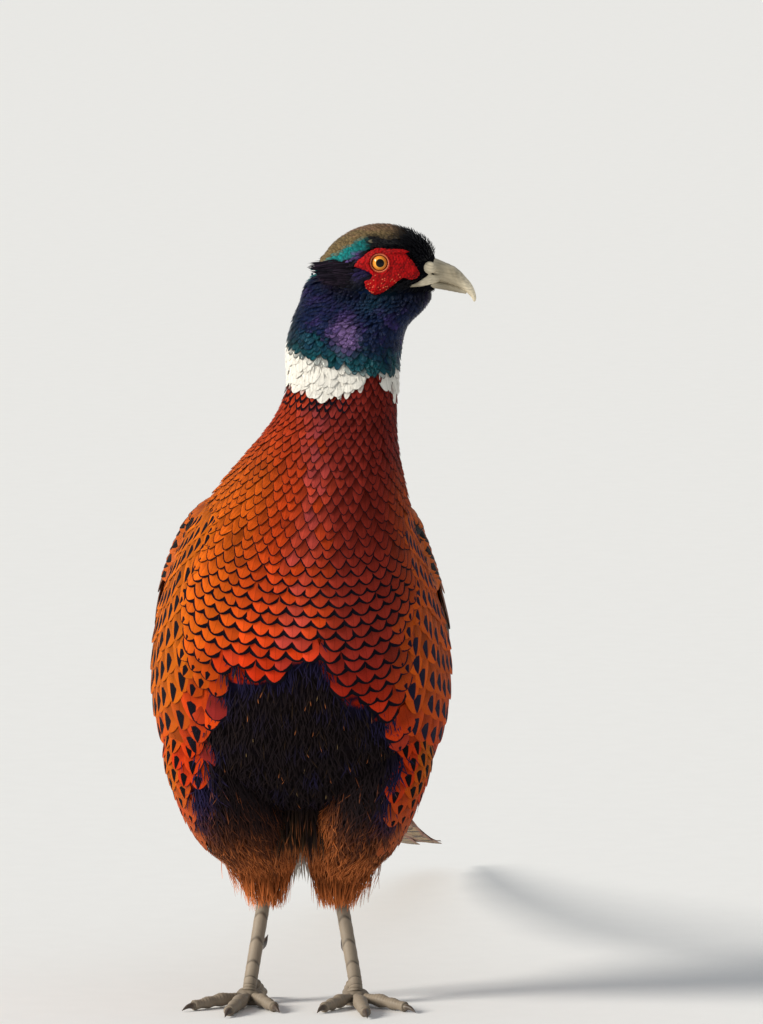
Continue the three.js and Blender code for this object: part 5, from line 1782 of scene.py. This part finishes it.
def scaled(path, base, facing, count, height, place=None, **settings):
    """A limb with scutes: its mesh and its tint."""

    def radius(s, turn):
        plate, grain, _ = plates(s, turn, count)
        return base(s) + height * (plate + 0.35 * grain)

    rings, s, turn = limb(path, radius, facing, **settings)
    plate, grain, edge = plates(s, turn, count)
    colour = blend(LEG, LEG * 0.4, np.clip(edge, 0, 1) * 0.8)
    return tinted(rings, colour * (0.85 + 0.2 * plate + 0.1 * grain)[..., None], place)


def horny(path, wide, power, place=None, floor=NO_FLOOR):
    """A pointed limb of horn, such as a claw or a spur."""

    def radius(s, turn):
        return np.maximum(wide * np.power(1 - s, power), 0.25) + 0 * turn

    rings, s, _ = limb(path, radius, UPWARD, 20, 30, floor)
    return tinted(rings, blend(LEG * 0.8, CLAW, ramp(0.0, 0.35, s)), place)


def piece(name, parts, paint, node):
    """A piece of the leg that takes a node's place, from meshes with their tints."""
    meshes, tints = zip(*parts)
    made = mesh_object(name, *joined(meshes))
    stain(made, "tint", np.clip(np.concatenate(tints), 0, 1))
    dressed(made, paint)
    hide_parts(node)


def shank_radius(s):
    return 3.5 + 2.2 * np.exp(-(((s - 0.08) / 0.09) ** 2)) + 1.3 * ramp(0.82, 1, s)


def pad_mesh(place):
    """The round pad under the foot, with small knobs round it, and its tints."""
    profile = smooth_curve(PAD, np.linspace(0, len(PAD) - 1, 40))
    profile[:, 1] = np.maximum(profile[:, 1], 0.0)
    turn = round_angles(48)
    knobs = 1 + 0.03 * np.sin(9 * turn)
    out, up = profile[:, :1], profile[:, 1:]
    pad = np.stack([out * np.cos(turn) * knobs, out * np.sin(turn) * knobs, up + 0 * turn], -1)
    return tinted(pad, np.tile(LEG * 0.75, (*pad.shape[:2], 1)), place)


def toe_paths(sign):
    """Each toe of a foot: its path in the foot's frame, its length and its half width."""
    near = PAD[2][0] + 0.35
    for name, (turn_by, length, wide) in TOES.items():
        turned = math.radians(turn_by * sign)
        way = np.array([math.sin(turned), -math.cos(turned), 0])
        on = length - near
        marks = ((near, 4.2), (near + 0.4 * on, 4), (near + 0.7 * on, 3.4), (length, 2.8))
        yield name, [way * away + (0, 0, z) for away, z in marks], length, wide
    back = 6.6
    hind = [(-sign, back, HIND["rise"]), (-2 * sign, 11, 8), (-3 * sign, back + HIND["length"], 3.4)]
    yield "hind", [np.array(point) for point in hind], HIND["length"], HIND["wide"]


def toe(side, name, path, length, wide, place):
    """A toe with its scutes, and the claw at its end."""

    def radius(s):
        return wide * (0.6 + 0.4 * ramp(0, 0.25, s)) * (1 - 0.34 * s) * (1 + 0.1 * np.cos(s * 3 * TURN))

    scutes = int(length / SCUTE_LENGTH)
    made = scaled(path, radius, UPWARD, scutes, 0.28, place, floor=0.0, sides=36, steps=int(length * 3))
    piece(f"toe_{name}_{side}_scales", [made], leg_paint, f"toe_{name}_{side}")
    way = unit(path[-1] - path[-2])
    level = unit(way * (1, 1, 0))
    claw_length = 0.3 * length**0.9
    tip = path[-1] + level * claw_length
    tip[2] = 0.9
    middle = path[-1] + way * (claw_length * 0.4) + level * (claw_length * 0.1)
    claw_path = [path[-1] - way * 0.5, middle, tip]
    claw = horny(claw_path, 0.55 * wide, 0.75, place, floor=0.4)
    piece(f"claw_{name}_{side}_horn", [claw], claw_paint, f"claw_{name}_{side}")


def leg(side, sign):
    """A shank with its pad and spur, and the toes and claws of its foot."""
    hock, foot = np.array(HOCK[side], float), np.array(FOOT_AT[side], float)
    cosine, sine = math.cos(FOOT_SPREAD), math.sin(sign * FOOT_SPREAD)
    axes = np.array([(cosine, sine, 0), (-sine, cosine, 0), UPWARD])

    def at_foot(points):
        return foot + np.asarray(points, float) @ axes

    path = [hock + (0, 3, 5), hock + (sign, -1, -7), foot + (-sign, 3, 15), foot + (0, 0, 6.5)]
    settings = {"floor": 0.5, "squash": 1.12, "sides": 48, "steps": 260}
    shank = scaled(path, shank_radius, (0, -1, 0.3), SCUTES, 0.55, **settings)
    piece(f"shank_{side}", [shank, pad_mesh(at_foot)], leg_paint, f"tarsus_{side}")
    start = hock + (foot - hock) * 0.62 + (0, 2, 3)
    spur = horny([start, start + (-3 * sign, 7, 0.5), start + (-5 * sign, 14, 4.5)], 3.2, 0.8)
    piece(f"spur_{side}_horn", [spur], claw_paint, f"spur_{side}")
    for name, path, length, wide in toe_paths(sign):
        toe(side, name, path, length, wide, at_foot)


for side, sign in SIDES.items():
    leg(side, sign)

# The skin's own paint: the feathers' colours, darker, as painted shade where it shows between the feathers

skin_points, _ = corners_of(skin)
_, found = nearest(skin_points, body_ground.points[:: Ground.FINE].reshape(-1, 3))
skin_tint, _, _ = plumage(skin_points, (found % Ground.COLUMNS) * TURN / Ground.COLUMNS)
skin_tint = blend(skin_tint, head_plumage(skin_points), ramp(382, 388, head_level(skin_points)))
skin_tint = blend(skin_tint, CHESTNUT * 0.5, ramp(100, 85, skin_points[:, 2]))
stain(skin, "tint", skin_tint * 0.55)
dressed(skin, skin_paint("skin", 300, 0.5, 0.0003, roughness=0.9, specular_ior_level=0.05))
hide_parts(*FLESH)

# Floor, lights and camera

AIM = metres((42.7, 0, 266))
DISTANCE = 6.0
ELEVATION = math.radians(5.5)
AZIMUTH = math.radians(3)
FLOOR = 4e4
FLOOR_GREY = (0.86, 0.86, 0.86)
KEY_WAY = Vector((0.85, 0.36, -0.42))


def placed(name, data, way):
    """A light or a camera that looks along a direction."""
    thing = bpy.data.objects.new(name, data)
    thing.rotation_euler = way.to_track_quat("-Z", "Y").to_euler()
    bpy.context.scene.collection.objects.link(thing)
    return thing


level = math.cos(ELEVATION)
towards = Vector((-math.sin(AZIMUTH) * level, math.cos(AZIMUTH) * level, -math.sin(ELEVATION)))
lens = bpy.data.cameras.new("camera")
lens.lens = 398
lens.sensor_width = 36
lens.clip_end = 100
camera = placed("camera", lens, towards)
camera.location = Vector(AIM) - towards * DISTANCE
bpy.context.scene.camera = camera
bpy.context.scene.view_settings.view_transform = "Standard"

corners = FLOOR * np.array([(-1, -1, 0), (1, -1, 0), (1, 1, 0), (-1, 1, 0)])
floor = mesh_object("floor", corners, [np.array([[0, 1, 2, 3]])])
floor_paint = Paint("floor", roughness=0.95, specular_ior_level=0.1)
grain = 0.98 + floor_paint.noise(60.0, 3.0) * 0.04
floor.data.materials.append(floor_paint.finish(floor_paint.shaded(FLOOR_GREY, grain)))
floor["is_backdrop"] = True

sun = bpy.data.lights.new("key", "SUN")
sun.energy = 4.0
sun.angle = 0.35
sun.color = (1.0, 0.95, 0.86)
placed("key", sun, KEY_WAY)
world = bpy.data.worlds.new("world")
world.use_nodes = True
sky = world.node_tree.nodes["Background"].inputs
sky["Color"].default_value = (0.93, 0.97, 1.0, 1)
sky["Strength"].default_value = 0.46
bpy.context.scene.world = world

sizes = {"cad": CAD_BOX, "visual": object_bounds()}
{key: [list(corner) for corner in value] for key, value in sizes.items()}
